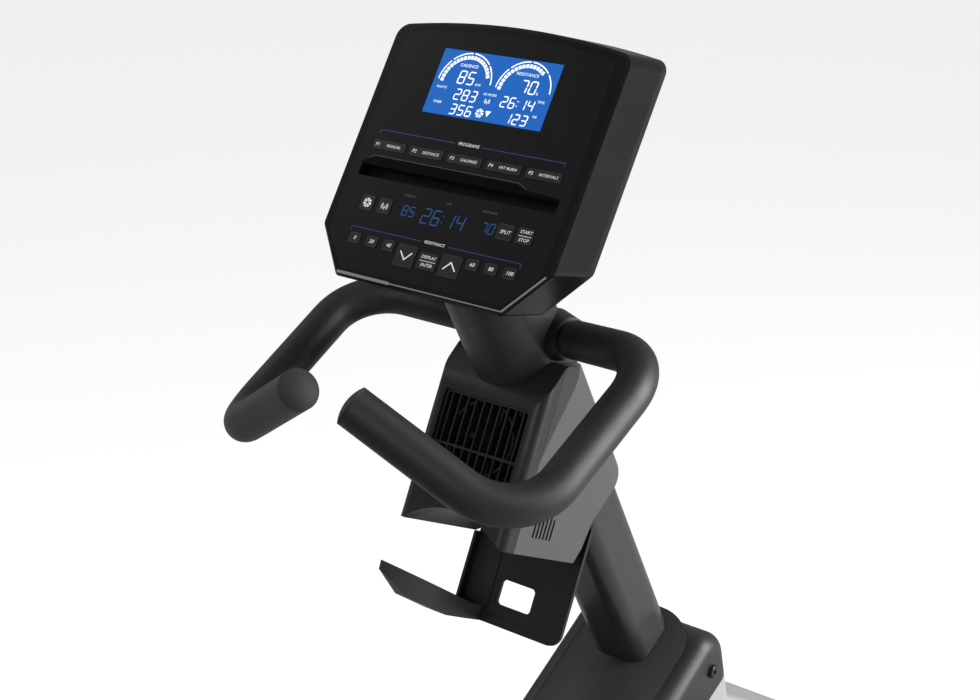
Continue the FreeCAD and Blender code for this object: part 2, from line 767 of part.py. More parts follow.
def main_frame():
    half = BEAM_WIDTH / 2
    rear = REAR_STABILISER_Y - STABILISER_DEPTH / 2
    front = FRONT_STABILISER_Y + STABILISER_DEPTH / 2
    beam = block(V(-half, rear, STABILISER_TOP), V(half, front, BEAM_TOP))
    wall = TUBE_WALL
    beam_hollow = block(
        V(-half + wall, rear - 1, STABILISER_TOP + wall), V(half - wall, front + 1, BEAM_TOP - wall)
    )
    beam = beam.cut(beam_hollow)
    fit = wall + COVER_GAP
    stub_x = MAST_WIDTH / 2 - fit
    stub_y = MAST_DEPTH / 2 - fit
    stub_low = (STABILISER_TOP + BEAM_HEIGHT / 2 - MAST_POINT.z) / MAST_UP.z
    stub = slab(MAST, oblong(stub_x, stub_y, MAST_CORNER - fit), stub_low, STUB_HIGH)
    stub_wall = 4.0
    bore = oblong(stub_x - stub_wall, stub_y - stub_wall, MAST_CORNER - fit - stub_wall)
    stub_bore = slab(MAST, bore, stub_low + 60, STUB_HIGH + 1)
    crank_shell = across(CRANK, SHELL_RADIUS, -SHELL_HALF_LENGTH, SHELL_HALF_LENGTH)
    wheel_shell = across(FLYWHEEL, SHELL_RADIUS, -SHELL_HALF_LENGTH, SHELL_HALF_LENGTH)
    crank_web = web([
        (CRANK_Y, CRANK_Z + 20), (CRANK_Y + 78, CRANK_Z + 62), (CRANK_Y + 162, CRANK_Z - 82), (CRANK_Y, CRANK_Z - 20),
    ])
    wheel_web = web([
        (FLYWHEEL_Y, FLYWHEEL_Z + 22), (FLYWHEEL_Y, FLYWHEEL_Z - 22),
        (FLYWHEEL_Y - 42, FLYWHEEL_Z - 72), (FLYWHEEL_Y - 100, FLYWHEEL_Z + 50),
    ])
    pivot_web = web([
        (FLYWHEEL_Y - 8, FLYWHEEL_Z + 20), (FLYWHEEL_Y + 14, FLYWHEEL_Z - 18),
        (PIVOT.y + 12, PIVOT.z - 8), (PIVOT.y - 8, PIVOT.z + 12),
    ])
    pin = across(PIVOT, PIVOT_RADIUS, -72, WEB_HALF)
    ears = []
    for y in STABILISERS:
        reach = STABILISER_DEPTH / 2 - 4
        low = V(-EAR_HALF_WIDTH, y - reach, STABILISER_TOP)
        ears.append(block(low, V(EAR_HALF_WIDTH, y + reach, STABILISER_TOP + EAR_THICKNESS)))
    body = fuse(
        beam, stub, crank_shell, wheel_shell, crank_web, wheel_web, pivot_web, pin,
        rail_post(*FRONT_POST), rail_post(*REAR_POST), *ears
    )
    cuts = [stub_bore]
    for centre in (CRANK, FLYWHEEL):
        cuts.append(across(centre, AXLE_RADIUS + 6, -SHELL_HALF_LENGTH - 1, SHELL_HALF_LENGTH + 1))
        seat = SHELL_HALF_LENGTH - BEARING_WIDTH
        cuts.append(across(centre, BEARING_RADIUS + SEATED, seat, SHELL_HALF_LENGTH + 1))
        cuts.append(across(centre, BEARING_RADIUS + SEATED, -SHELL_HALF_LENGTH - 1, -seat))
    for point in ear_bolts():
        cuts.append(rod(BOLT_RADIUS + SEATED, point - Z * 20, point + Z))
    return body.cut(cuts)


def ear_bolts():
    """Bolt places on top of the stabiliser ears."""
    top = STABILISER_TOP + EAR_THICKNESS
    return [V(side * EAR_BOLT_X, y, top) for y in STABILISERS for side in (-1, 1)]


def bearings():
    low = SHELL_HALF_LENGTH - BEARING_WIDTH
    races = []
    for centre in (CRANK, FLYWHEEL):
        for start, end in ((low, SHELL_HALF_LENGTH), (-SHELL_HALF_LENGTH, -low)):
            outer = across(centre, BEARING_RADIUS, start, end)
            races.append(outer.cut(across(centre, AXLE_RADIUS + RUNNING, start - 1, end + 1)))
    return Part.makeCompound(races)


def stabiliser(y):
    """Cross tube with a moulded cap on each end."""
    cross = frame(V(0, y, FOOT_HEIGHT + STABILISER_HEIGHT / 2), Y, Z)
    half_y = STABILISER_DEPTH / 2
    half_z = STABILISER_HEIGHT / 2
    wall = TUBE_WALL
    length = STABILISER_HALF_LENGTH
    tube = slab(cross, oblong(half_y, half_z, 18), -length, length)
    tube = tube.cut(slab(cross, oblong(half_y - wall, half_z - wall, 18 - wall), -length - 1, length + 1))
    holes = [rod(BOLT_RADIUS + SEATED, point - Z * 12, point) for point in ear_bolts()]
    for side in (-1, 1):
        foot = V(side * FOOT_X, y, 0)
        holes.append(rod(STUD_RADIUS + 0.1, foot, foot + Z * (FOOT_HEIGHT + 6)))
    tube = tube.cut(holes)
    head = slab(cross, oblong(half_y, half_z, 18), length, length + CAP_LENGTH)
    head = head.makeFillet(7, edges_at(head, cross, length + CAP_LENGTH))
    gap = wall + SEATED
    insert = slab(cross, oblong(half_y - gap, half_z - gap, 18 - gap), length - CAP_INSERT, length)
    cap = fuse(head, insert)
    return tube, cap


def wheel_centre(side):
    y = FRONT_STABILISER_Y + STABILISER_DEPTH / 2 + WHEEL_RADIUS + 2
    return V(side * WHEEL_X, y, WHEEL_RADIUS + WHEEL_FLOOR_GAP)


def front_stabiliser():
    tube, cap = stabiliser(FRONT_STABILISER_Y)
    cheeks = []
    face = FRONT_STABILISER_Y + STABILISER_DEPTH / 2
    for side in (-1, 1):
        centre = wheel_centre(side)
        for offset in (-1, 1):
            inner = centre.x + offset * (WHEEL_HALF_WIDTH + 0.5)
            outer = inner + offset * 4.0
            low_x, high_x = min(inner, outer), max(inner, outer)
            cheek = [(face - 6, 36), (centre.y - 8, centre.z - 8, 4), (centre.y + 10, centre.z - 8, 8)]
            cheek += [(centre.y + 10, centre.z + 10, 8), (face - 6, 64)]
            cheeks.append(slab(SIDE, cheek, low_x, high_x))
        reach = WHEEL_HALF_WIDTH + 6
        cheeks.append(rod(BOLT_RADIUS, centre - X * reach, centre + X * reach))
    joined = fuse(tube, *cheeks)
    cross = frame(V(0, FRONT_STABILISER_Y, FOOT_HEIGHT + STABILISER_HEIGHT / 2), Y, Z)
    wall = TUBE_WALL
    half_y = STABILISER_DEPTH / 2 - wall
    half_z = STABILISER_HEIGHT / 2 - wall
    length = STABILISER_HALF_LENGTH
    joined = joined.cut(slab(cross, oblong(half_y, half_z, 18 - wall), -length - 1, length + 1))
    return Part.makeCompound([joined, cap, mirrored(cap)])


def rear_stabiliser():
    tube, cap = stabiliser(REAR_STABILISER_Y)
    return Part.makeCompound([tube, cap, mirrored(cap)])


def transport_wheel(side):
    centre = wheel_centre(side)
    half = WHEEL_HALF_WIDTH
    wheel = across(centre, WHEEL_RADIUS, -half, half)
    wheel = wheel.makeChamfer(2.5, wheel.Edges)
    return wheel.cut(across(centre, BOLT_RADIUS + RUNNING, -half - 1, half + 1))


def levelling_feet():
    feet = []
    for y in STABILISERS:
        for side in (-1, 1):
            base = V(side * FOOT_X, y, 0)
            disc = rod(FOOT_RADIUS, base, base + Z * 9)
            cone = Part.makeCone(FOOT_RADIUS, 12, 7, base + Z * 9, Z)
            stud = rod(STUD_RADIUS, base + Z * 15, base + Z * (FOOT_HEIGHT + 24))
            nut_points = [
                (9.5 * math.cos(math.radians(60 * turn)), 9.5 * math.sin(math.radians(60 * turn)))
                for turn in range(6)
            ]
            nut = slab(frame(base, X, Y), nut_points, FOOT_HEIGHT - 8, FOOT_HEIGHT)
            feet.append(fuse(disc, cone, stud, nut))
    return Part.makeCompound(feet)


# ---------------------------------------------------------------- front body
BODY_BOTTOM = BEAM_TOP + 5
BODY_PROFILE = [
    (165, BODY_BOTTOM, 30),
    (160, 440, 45),
    (422, 581, 35),
    (453, 464, 25),
    (745, 281, 60),
    (745, BODY_BOTTOM, 45),
]
DECK_START = V(0, 160, 440)
DECK_RISE = math.atan2(581 - 440, 422 - 160)
DECK = frame(DECK_START, X, V(0, math.cos(DECK_RISE), math.sin(DECK_RISE)))
DECK_REAR = 45.0
DECK_FRONT = 277.0
DECK_CORNER = 40.0
DECK_SKIRT = 14.0
AXLE_HOLE = 21.0
SHROUD_SCREWS = [(200, 170), (200, 400), (400, 524), (690, 276), (705, 170)]
SCREW_HOLE = BOLT_RADIUS + SEATED


def deck_plan(grow, low, high):
    """Plan of the top strip, grown all round."""
    half = STRIP_HALF_WIDTH + grow
    centre = (DECK_REAR + DECK_FRONT) / 2
    length = (DECK_FRONT - DECK_REAR) / 2 + grow
    return slab(DECK, oblong(half, length, DECK_CORNER + grow, 0, centre), low, high)


def shroud():
    """Right half shell of the front body."""
    edge = BODY_HALF_WIDTH
    outer = slab(SIDE, BODY_PROFILE, COVER_GAP / 2, edge)
    outer = outer.makeFillet(BODY_ROUND, edges_at(outer, SIDE, edge))
    inner = inset(BODY_PROFILE, SIDE, SKIN, -1, edge - SKIN)
    inner = inner.makeFillet(BODY_ROUND - SKIN, edges_at(inner, SIDE, edge - SKIN))
    shell = outer.cut(inner)
    cuts = [
        across(CRANK, AXLE_HOLE, edge - 6, edge + 1),
        deck_plan(COVER_GAP, -16, 30),
        slab(RAIL, oblong(RAIL_WIDTH / 2 + 1, RAIL_HEIGHT / 2 + 1, 6), -20, 90),
        block(V(-30, FRONT_POST[0] - 1, 100), V(POST_HALF_WIDTH + 1, FRONT_POST[1] + 1, BODY_BOTTOM + 5)),
        block(V(-35, 545, 100), V(34, 645, BODY_BOTTOM + 5)),
    ]
    for y, z in SHROUD_SCREWS:
        cuts.append(across(V(0, y, z), SCREW_HOLE, edge - 8, edge + 1))
    return max(shell.cut(cuts).Solids, key=lambda solid: solid.Volume)


def left_shroud():
    return mirrored(shroud())


STRIP_RADIUS = (STRIP_HALF_WIDTH ** 2 + STRIP_CROWN ** 2) / (2 * STRIP_CROWN)


def arch_bar(wall):
    """Round bar whose top is the strip's arched face, drawn in by a wall."""
    height = STRIP_CROWN - STRIP_RADIUS
    return rod(STRIP_RADIUS - wall, at(DECK, 0, DECK_REAR - 10, height), at(DECK, 0, DECK_FRONT + 10, height))


def top_cover():
    outer = arch_bar(0).common(deck_plan(0, -DECK_SKIRT, 40))
    inner = arch_bar(SKIN).common(deck_plan(-SKIN, -DECK_SKIRT - 2, 40))
    gap = LOOSE
    opening = oblong(MAST_WIDTH / 2 + gap, MAST_DEPTH / 2 + gap, MAST_CORNER + gap)
    return outer.cut([inner, slab(MAST, opening, -120, 60)])


# ---------------------------------------------------------------- drive
FLANGE_RISE = 2.0
FLANGE_THICKNESS = 1.5
BELT_IN = 43.0
BELT_OUT = 53.0
ARM_ROOT_RADIUS = 19.0
ARM_TIP_RADIUS = 14.0
PEDAL_GAP = 3.0
MAGNET_GAP = 1.6
CALIPER_PLATE = 3.0


def crank_axle():
    end = CRANK_ARM_X + CRANK_ARM_THICK
    axle = across(CRANK, AXLE_RADIUS, -end, end)
    heads = [across(CRANK, 12, end, end + 5), across(CRANK, 12, -end - 5, -end)]
    return fuse(axle, *heads)


def crank_arm(side):
    """Arm with its pedal spindle; the right arm points forward, the left one back."""
    low = CRANK_ARM_X
    high = low + CRANK_ARM_THICK
    tip = CRANK + Y * CRANK_ARM
    root = across(CRANK, ARM_ROOT_RADIUS, low, high)
    eye = across(tip, ARM_TIP_RADIUS, low, high)
    lean_in = (ARM_ROOT_RADIUS - ARM_TIP_RADIUS) / CRANK_ARM
    reach_z = math.sqrt(1 - lean_in ** 2)
    points = []
    for centre_y, radius in ((CRANK_Y, ARM_ROOT_RADIUS), (CRANK_Y + CRANK_ARM, ARM_TIP_RADIUS)):
        points.append((centre_y + radius * lean_in, CRANK_Z + radius * reach_z))
        points.insert(0, (centre_y + radius * lean_in, CRANK_Z - radius * reach_z))
    blade = slab(SIDE, points, low, high)
    spindle = across(tip, PEDAL_SPINDLE, high - 1, high + PEDAL_GAP + PEDAL_LENGTH - 6)
    arm = fuse(root, eye, blade, spindle)
    arm = arm.cut(across(CRANK, AXLE_RADIUS + SEATED, low - 1, high + 1))
    if side > 0:
        return arm
    arm.rotate(CRANK, Z, 180)
    return arm


def pedal(side):
    low = CRANK_ARM_X + CRANK_ARM_THICK + PEDAL_GAP
    high = low + PEDAL_LENGTH
    tip = CRANK + Y * CRANK_ARM
    half_y = PEDAL_DEPTH / 2
    half_z = PEDAL_HEIGHT / 2
    outline = [(-half_y, -4, 3), (-half_y + 9, -half_z, 4), (half_y - 9, -half_z, 4), (half_y, -4, 3)]
    outline += [(-a, -b, radius) for a, b, radius in outline]
    body = slab(frame(tip, Y, Z), outline, low, high)
    cuts = [across(tip, PEDAL_SPINDLE + RUNNING, low - 1, high - 5)]
    for centre in (-29, 29):
        window = [(-17 + centre, -20), (17 + centre, -20), (17 + centre, 20), (-17 + centre, 20)]
        cuts.append(slab(frame(tip, Y, Z), window, low + 10, (low + high) / 2 - 4))
        cuts.append(slab(frame(tip, Y, Z), window, (low + high) / 2 + 4, high - 10))
    body = body.cut(cuts)
    if side > 0:
        return body
    body.rotate(CRANK, Z, 180)
    return body


def drive_pulley():
    low, high = PULLEY_LOW_X, PULLEY_HIGH_X
    disc = across(CRANK, PULLEY_RADIUS, low, high)
    rim = PULLEY_RADIUS + FLANGE_RISE
    flanges = [across(CRANK, rim, low, low + FLANGE_THICKNESS), across(CRANK, rim, high - FLANGE_THICKNESS, high)]
    wheel = fuse(disc, *flanges)
    cuts = [across(CRANK, AXLE_RADIUS + SEATED, low - 1, high + 1)]
    dish = ring(PULLEY_RADIUS - 12, 28, CRANK + X * (high - 4), CRANK + X * (high + 1))
    cuts.append(dish)
    cuts.append(ring(PULLEY_RADIUS - 12, 28, CRANK + X * (low - 1), CRANK + X * (low + 4)))
    for turn in range(6):
        angle = math.radians(60 * turn + 30)
        hole = CRANK + V(0, math.cos(angle), math.sin(angle)) * 71
        cuts.append(across(hole, 24, low - 1, high + 1))
    return wheel.cut(cuts)


def flywheel():
    """Disc, shaft and small pulley, turning as one."""
    low, high = FLYWHEEL_OUT_X, FLYWHEEL_IN_X
    disc = across(FLYWHEEL, FLYWHEEL_RADIUS, low, high)
    cuts = [across(FLYWHEEL, AXLE_RADIUS + SEATED, low - 1, high + 1)]
    cuts.append(ring(FLYWHEEL_RADIUS - 26, 30, FLYWHEEL + X * (high - 5), FLYWHEEL + X * (high + 1)))
    cuts.append(ring(FLYWHEEL_RADIUS - 26, 30, FLYWHEEL + X * (low - 1), FLYWHEEL + X * (low + 5)))
    disc = disc.cut(cuts)
    shaft = across(FLYWHEEL, AXLE_RADIUS, low - 8, PULLEY_HIGH_X + 5)
    rim = SMALL_PULLEY_RADIUS + FLANGE_RISE
    low, high = PULLEY_LOW_X, PULLEY_HIGH_X
    pulley = fuse(
        across(FLYWHEEL, SMALL_PULLEY_RADIUS, low, high),
        across(FLYWHEEL, rim, low, low + FLANGE_THICKNESS),
        across(FLYWHEEL, rim, high - FLANGE_THICKNESS, high),
    )
    pulley = pulley.cut(across(FLYWHEEL, AXLE_RADIUS + SEATED, low - 1, high + 1))
    return Part.makeCompound([disc, shaft, pulley])


def belt_loop(grow):
    """Solid bounded by the belt's path at a distance from the pulleys."""
    large = PULLEY_RADIUS + grow
    small = SMALL_PULLEY_RADIUS + grow
    gap_y = FLYWHEEL_Y - CRANK_Y
    gap_z = FLYWHEEL_Z - CRANK_Z
    line = math.atan2(gap_z, gap_y)
    open_angle = math.acos((large - small) / math.hypot(gap_y, gap_z))

    def on(centre, radius, angle):
        return centre + V(BELT_IN, radius * math.cos(angle), radius * math.sin(angle))

    large_top = on(CRANK, large, line + open_angle)
    large_back = on(CRANK, large, line + math.pi)
    large_low = on(CRANK, large, line - open_angle)
    small_low = on(FLYWHEEL, small, line - open_angle)
    small_front = on(FLYWHEEL, small, line)
    small_top = on(FLYWHEEL, small, line + open_angle)
    edges = [
        Part.Arc(large_top, large_back, large_low).toShape(),
        Part.makeLine(large_low, small_low),
        Part.Arc(small_low, small_front, small_top).toShape(),
        Part.makeLine(small_top, large_top),
    ]
    return Part.Face(Part.Wire(edges)).extrude(X * (BELT_OUT - BELT_IN))


def drive_belt():
    return belt_loop(COVER_GAP + BELT_THICK).cut(belt_loop(COVER_GAP))


def brake_magnets():
    """Two plates with magnets that straddle the flywheel's rim, bridged outside it."""
    angle_low, angle_high = math.radians(-2), math.radians(34)

    def sector(inner, outer, low_x, high_x):
        points = []
        for radius, first, last in ((outer, angle_low, angle_high), (inner, angle_high, angle_low)):
            points.append([
                FLYWHEEL + V(low_x, radius * math.cos(a), radius * math.sin(a))
                for a in (first, (first + last) / 2, last)
            ])
        edges = [
            Part.Arc(*points[0]).toShape(),
            Part.makeLine(points[0][2], points[1][0]),
            Part.Arc(*points[1]).toShape(),
            Part.makeLine(points[1][2], points[0][0]),
        ]
        return Part.Face(Part.Wire(edges)).extrude(X * (high_x - low_x))

    outer_face = FLYWHEEL_OUT_X - MAGNET_GAP
    inner_face = FLYWHEEL_IN_X + MAGNET_GAP
    inner_limit = -SHELL_HALF_LENGTH - 0.6
    plate_out = outer_face - 3 - CALIPER_PLATE
    top = FLYWHEEL_RADIUS + 12
    parts = [
        sector(FLYWHEEL_RADIUS - 30, top, plate_out, outer_face - 3),
        sector(FLYWHEEL_RADIUS - 30, top, inner_limit - CALIPER_PLATE, inner_limit),
        sector(FLYWHEEL_RADIUS - 24, FLYWHEEL_RADIUS - 4, plate_out, outer_face),
        sector(FLYWHEEL_RADIUS - 24, FLYWHEEL_RADIUS - 4, inner_face, inner_limit),
        sector(FLYWHEEL_RADIUS + 4, top, plate_out, inner_limit),
        across(PIVOT, 10, plate_out, inner_limit),
    ]
    direction = PIVOT - FLYWHEEL
    swing = math.atan2(direction.z, direction.y)
    reach = direction.Length
    tab = []
    for radius, turn in ((FLYWHEEL_RADIUS + 5, 0.21), (reach + 8, 0.03), (reach - 8, -0.04), (FLYWHEEL_RADIUS + 5, 0.08)):
        tab.append((FLYWHEEL_Y + radius * math.cos(swing + turn), FLYWHEEL_Z + radius * math.sin(swing + turn)))
    parts.append(slab(SIDE, tab, plate_out, inner_limit))
    whole = fuse(*parts)
    return whole.cut(across(PIVOT, PIVOT_RADIUS + RUNNING, -100, 0))


# ---------------------------------------------------------------- seat
CARRIAGE_GAP = 0.4
RISER_TOP = 474.0
DECK_PLATE = 6.0
PAN_PLATE = 6.0
PAN_RAIL_X = 110.0
SEAT_FRONT = -225.0
SEAT_REAR = -555.0
LEVER_PIVOT = V(0, -330.0, 450.0)
LEVER_REACH = 232.0
HANDLE_END = V(HANDLE_X, -225.0, 640.0)
HANDLE_BEND = V(HANDLE_X, -400.0, 590.0)
HANDLE_ROOT = V(240.0, -505.0, 491.0)
HANDLE_GRIP_LENGTH = 115.0
HANDLE_GRIP_RADIUS = 16.0


def along_rail(y):
    """Distance along the rail of a place above it."""
    return (RAIL_FRONT.y - y) / math.cos(slope)


def seat_rail():
    half_w = RAIL_WIDTH / 2
    half_h = RAIL_HEIGHT / 2
    wall = 4.0
    bar = slab(RAIL, oblong(half_w, half_h, 5), 0, RAIL_LENGTH)
    cuts = [slab(RAIL, oblong(half_w - wall, half_h - wall, 2), -1, RAIL_LENGTH - wall)]
    for side in (-1, 1):
        groove = oblong(1.5, 4, 0, side * half_w, 0)
        cuts.append(slab(RAIL, groove, -1, RAIL_LENGTH + 1))
    return bar.cut(cuts)


def seat_carriage():
    gap = CARRIAGE_GAP
    half_w = RAIL_WIDTH / 2 + gap
    half_h = RAIL_HEIGHT / 2 + gap
    wall = CARRIAGE_WALL
    centre = along_rail(SEAT_Y)
    low = centre - CARRIAGE_LENGTH / 2
    high = centre + CARRIAGE_LENGTH / 2
    sleeve_block = slab(RAIL, oblong(half_w + wall, half_h + wall, 5 + wall), low, high)
    bore = slab(RAIL, oblong(half_w, half_h, 5), low - 1, high + 1)
    rear = SEAT_Y - 85
    front = SEAT_Y + 85
    top = RISER_TOP
    risers = []
    for low_x, high_x in ((half_w, half_w + wall), (-half_w - wall, -half_w)):
        drop = [(rear, 422), (front, 396), (front, top + 2), (rear, top + 2)]
        risers.append(slab(SIDE, drop, low_x, high_x))
    plate = block(V(-60, SEAT_Y - 90, top), V(60, SEAT_Y + 90, top + DECK_PLATE))
    boss = across(LEVER_PIVOT, 12, half_w, 56)
    whole = fuse(sleeve_block, plate, boss, *risers)
    lever_bore = across(LEVER_PIVOT, LEVER_RADIUS + RUNNING, half_w - 1, 60)
    return whole.cut([bore, lever_bore])


def seat_lever():
    start = LEVER_PIVOT + X * 32
    elbow = LEVER_PIVOT + X * LEVER_REACH
    tip = elbow + V(0, 100, 18)
    path = rounded_wire([(start, 0), (elbow, 22), (tip, 0)], closed=False)
    lever = sweep(path, LEVER_RADIUS)
    hold = (tip - elbow).normalize()
    grip = rod(12, tip - hold * 70, tip + hold * 4)
    grip = grip.makeFillet(4, grip.Edges)
    return fuse(lever, grip)


def handle_points():
    return [HANDLE_END, HANDLE_BEND, HANDLE_ROOT]


def back_tube(side):
    """Centre line of one upright, from under the seat to behind the back."""
    behind = BACK_THICK + SEAT_TUBE_RADIUS + COVER_GAP + 0.5
    level = SEAT_HEIGHT - PAN_PLATE - 11
    rise = (level - BACK_FOOT.z + math.sin(back_tilt) * behind) / math.cos(back_tilt)
    x = side * PAN_RAIL_X
    foot = at(BACK, x, rise, behind)
    top = at(BACK, x, 395, behind)
    start = V(x, -500, foot.z)
    return rounded_wire([(start, 0), (foot, 50), (top, 0)], closed=False)


def seat_frame():
    top = SEAT_HEIGHT
    low = RISER_TOP + DECK_PLATE
    parts = [block(V(-150, SEAT_REAR + 20, top - 3), V(150, SEAT_FRONT - 25, top))]
    for side in (-1, 1):
        x = side * PAN_RAIL_X
        bar = block(V(x - 12.5, SEAT_REAR + 10, low), V(x + 12.5, SEAT_FRONT - 20, top - 1))
        hollow = block(V(x - 10.5, SEAT_REAR, low + 2), V(x + 10.5, SEAT_FRONT, top - PAN_PLATE))
        parts.append(bar.cut(hollow))
        parts.append(sweep(back_tube(side), SEAT_TUBE_RADIUS))
    for y in (SEAT_Y + 70, SEAT_Y - 70):
        parts.append(block(V(-PAN_RAIL_X, y - 12.5, low), V(PAN_RAIL_X, y + 12.5, top - 1)))
    path = handle_points() + [mirror_point(point) for point in reversed(handle_points())]
    radii = [0, 60, 42, 42, 60, 0]
    handles = rounded_wire(list(zip(path, radii)), closed=False)
    parts.append(sweep(handles, SEAT_TUBE_RADIUS))
    behind = BACK_THICK + COVER_GAP
    parts.append(slab(BACK, oblong(150, 160, 30, 0, 220), behind, behind + 3))
    inside = SEAT_TUBE_RADIUS - SEAT_TUBE_WALL
    bores = [sweep(handles, inside), sweep(back_tube(-1), inside), sweep(back_tube(1), inside)]
    return fuse(*parts).cut(bores)


def seat_handle_grips():
    down = (HANDLE_BEND - HANDLE_END).normalize()
    outer = rod(HANDLE_GRIP_RADIUS, HANDLE_END - down * 6, HANDLE_END + down * HANDLE_GRIP_LENGTH)
    outer = outer.makeFillet(4, outer.Edges)
    inner = rod(SEAT_TUBE_RADIUS + SEATED, HANDLE_END, HANDLE_END + down * (HANDLE_GRIP_LENGTH + 5))
    grip = outer.cut(inner)
    return Part.makeCompound([grip, mirrored(grip)])


def seat_cushion():
    floor = frame(V(0, (SEAT_FRONT + SEAT_REAR) / 2, SEAT_HEIGHT + COVER_GAP), X, Y)
    half_x = SEAT_WIDTH / 2
    half_y = (SEAT_FRONT - SEAT_REAR) / 2
    outline = [(-half_x, -half_y, 50), (half_x, -half_y, 50), (half_x, half_y, 90), (-half_x, half_y, 90)]
    pad = slab(floor, outline, 0, SEAT_THICK)
    pad = pad.makeFillet(22, edges_at(pad, floor, SEAT_THICK))
    return pad.makeFillet(8, edges_at(pad, floor, 0))


def back_cushion():
    half = BACK_WIDTH / 2
    outline = [(-half, 0, 50), (half, 0, 50), (half, BACK_HEIGHT, 110), (-half, BACK_HEIGHT, 110)]
    pad = slab(BACK, outline, 0, BACK_THICK)
    pad = pad.makeFillet(22, edges_at(pad, BACK, 0))
    return pad.makeFillet(8, edges_at(pad, BACK, BACK_THICK))


# ---------------------------------------------------------------- screws
def screw(seat, outward, shank):
    """Pan-head screw: its head stands on the seat point."""
    head = rod(BOLT_HEAD_RADIUS, seat, seat + outward * BOLT_HEAD_HEIGHT)
    head = head.makeFillet(2.0, edges_at(head, (seat, X, Y, outward), BOLT_HEAD_HEIGHT))
    drive = Part.makeCylinder(2.5, 2.5, seat + outward * (BOLT_HEAD_HEIGHT - 2.2), outward)
    return fuse(head, rod(BOLT_RADIUS, seat - outward * shank, seat)).cut(drive)


def screws():
    found = [screw(point, Z, 10) for point in ear_bolts()]
    for y, z in SHROUD_SCREWS:
        fixing = screw(V(BODY_HALF_WIDTH, y, z), X, 7)
        found.append(fixing)
        found.append(mirrored(fixing))
    return Part.makeCompound(found)


# ---------------------------------------------------------------- export
NODES = {
    "console_bezel": console_bezel,
    "console_back_cover": console_back_cover,
    "display_panel": display_panel,
    "lcd_screen": lcd_screen,
    "circuit_board": circuit_board,
    "neck_cover": neck_cover,
    "mast_tube": mast_tube,
    "handlebar_tube": handlebar_tube,
    "handlebar_grips": handlebar_grips,
    "handlebar_end_caps": handlebar_end_caps,
    "fan_front_cover": fan_front_cover,
    "fan_side_cover": fan_side_cover,
    "fan_grille": fan_grille,
    "fan_rotor": fan_rotor,
    "bottle_holder": bottle_holder,
    "main_frame": main_frame,
    "front_stabiliser": front_stabiliser,
    "rear_stabiliser": rear_stabiliser,
    "left_transport_wheel": lambda: transport_wheel(-1),
    "right_transport_wheel": lambda: transport_wheel(1),
    "levelling_feet": levelling_feet,
    "left_shroud": left_shroud,
    "right_shroud": shroud,
    "top_cover": top_cover,
    "crank_axle": crank_axle,
    "left_crank_arm": lambda: crank_arm(-1),
    "right_crank_arm": lambda: crank_arm(1),
    "left_pedal": lambda: pedal(-1),
    "right_pedal": lambda: pedal(1),
    "drive_pulley": drive_pulley,
    "drive_belt": drive_belt,
    "flywheel": flywheel,
    "brake_magnets": brake_magnets,
    "bearings": bearings,
    "seat_rail": seat_rail,
    "seat_carriage": seat_carriage,
    "seat_lever": seat_lever,
    "seat_frame": seat_frame,
    "seat_cushion": seat_cushion,
    "back_cushion": back_cushion,
    "seat_handle_grips": seat_handle_grips,
    "screws": screws,
}

os.makedirs("parts", exist_ok=True)
for name, make in NODES.items():
    make().exportStep("parts/%s.step" % name)
for name in KEYS:
    key(name).exportStep("parts/%s.step" % name)
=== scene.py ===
# %% [markdown]
# # A recumbent exercise bike, dressed for the studio
# The bike arrives as a finished mechanical model: sixty solids that already sit in the
# right place and move on the right joints. This lesson gives them their looks. It adds
# what a mechanical model leaves out (print, stitching, straps, welds, stuffed cushions)
# and a procedural finish for every surface.

# %% Load the mechanical model
import bpy
import bmesh
import math
from mathutils import Matrix, Vector
from mathutils.bvhtree import BVHTree


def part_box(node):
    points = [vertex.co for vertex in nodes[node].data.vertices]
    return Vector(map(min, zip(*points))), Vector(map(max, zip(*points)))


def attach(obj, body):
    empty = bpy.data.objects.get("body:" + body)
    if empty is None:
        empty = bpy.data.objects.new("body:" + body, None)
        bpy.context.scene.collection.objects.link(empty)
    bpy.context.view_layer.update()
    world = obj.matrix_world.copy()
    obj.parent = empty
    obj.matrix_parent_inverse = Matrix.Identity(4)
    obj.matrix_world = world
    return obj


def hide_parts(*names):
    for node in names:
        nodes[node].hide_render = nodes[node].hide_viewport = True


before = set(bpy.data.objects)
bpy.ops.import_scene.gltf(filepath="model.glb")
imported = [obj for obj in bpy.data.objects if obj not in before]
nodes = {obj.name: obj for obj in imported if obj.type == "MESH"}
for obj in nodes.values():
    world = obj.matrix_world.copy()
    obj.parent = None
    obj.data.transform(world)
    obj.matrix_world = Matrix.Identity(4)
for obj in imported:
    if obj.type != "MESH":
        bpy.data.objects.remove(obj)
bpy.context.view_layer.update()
MM = 0.001


def add_object(name, data):
    """An object in the scene from its mesh, curve, light or camera."""
    made = bpy.data.objects.new(name, data)
    bpy.context.scene.collection.objects.link(made)
    return made


def as_mesh(bm, name):
    """A mesh from a bmesh, which is used up."""
    mesh = bpy.data.meshes.new(name)
    bm.to_mesh(mesh)
    bm.free()
    return mesh



# %% [markdown]
# ## Camera
# A long lens from the rider's right shoulder, looking down at the console. The frame
# is the usual 36 mm wide one, so the focal length reads like a stills lens.

# %% Camera
def add_camera(location, forward, right, lens):
    """A camera from its place, its view direction and its right-hand direction."""
    data = bpy.data.cameras.new("studio_camera")
    data.lens = lens
    data.sensor_width = 36.0
    camera = add_object("studio_camera", data)
    ahead = Vector(forward).normalized()
    aside = Vector(right).normalized()
    up = aside.cross(ahead)
    turn = Matrix((aside, up, -ahead)).transposed().to_4x4()
    camera.matrix_world = Matrix.Translation(Vector(location)) @ turn
    bpy.context.scene.camera = camera
    return camera


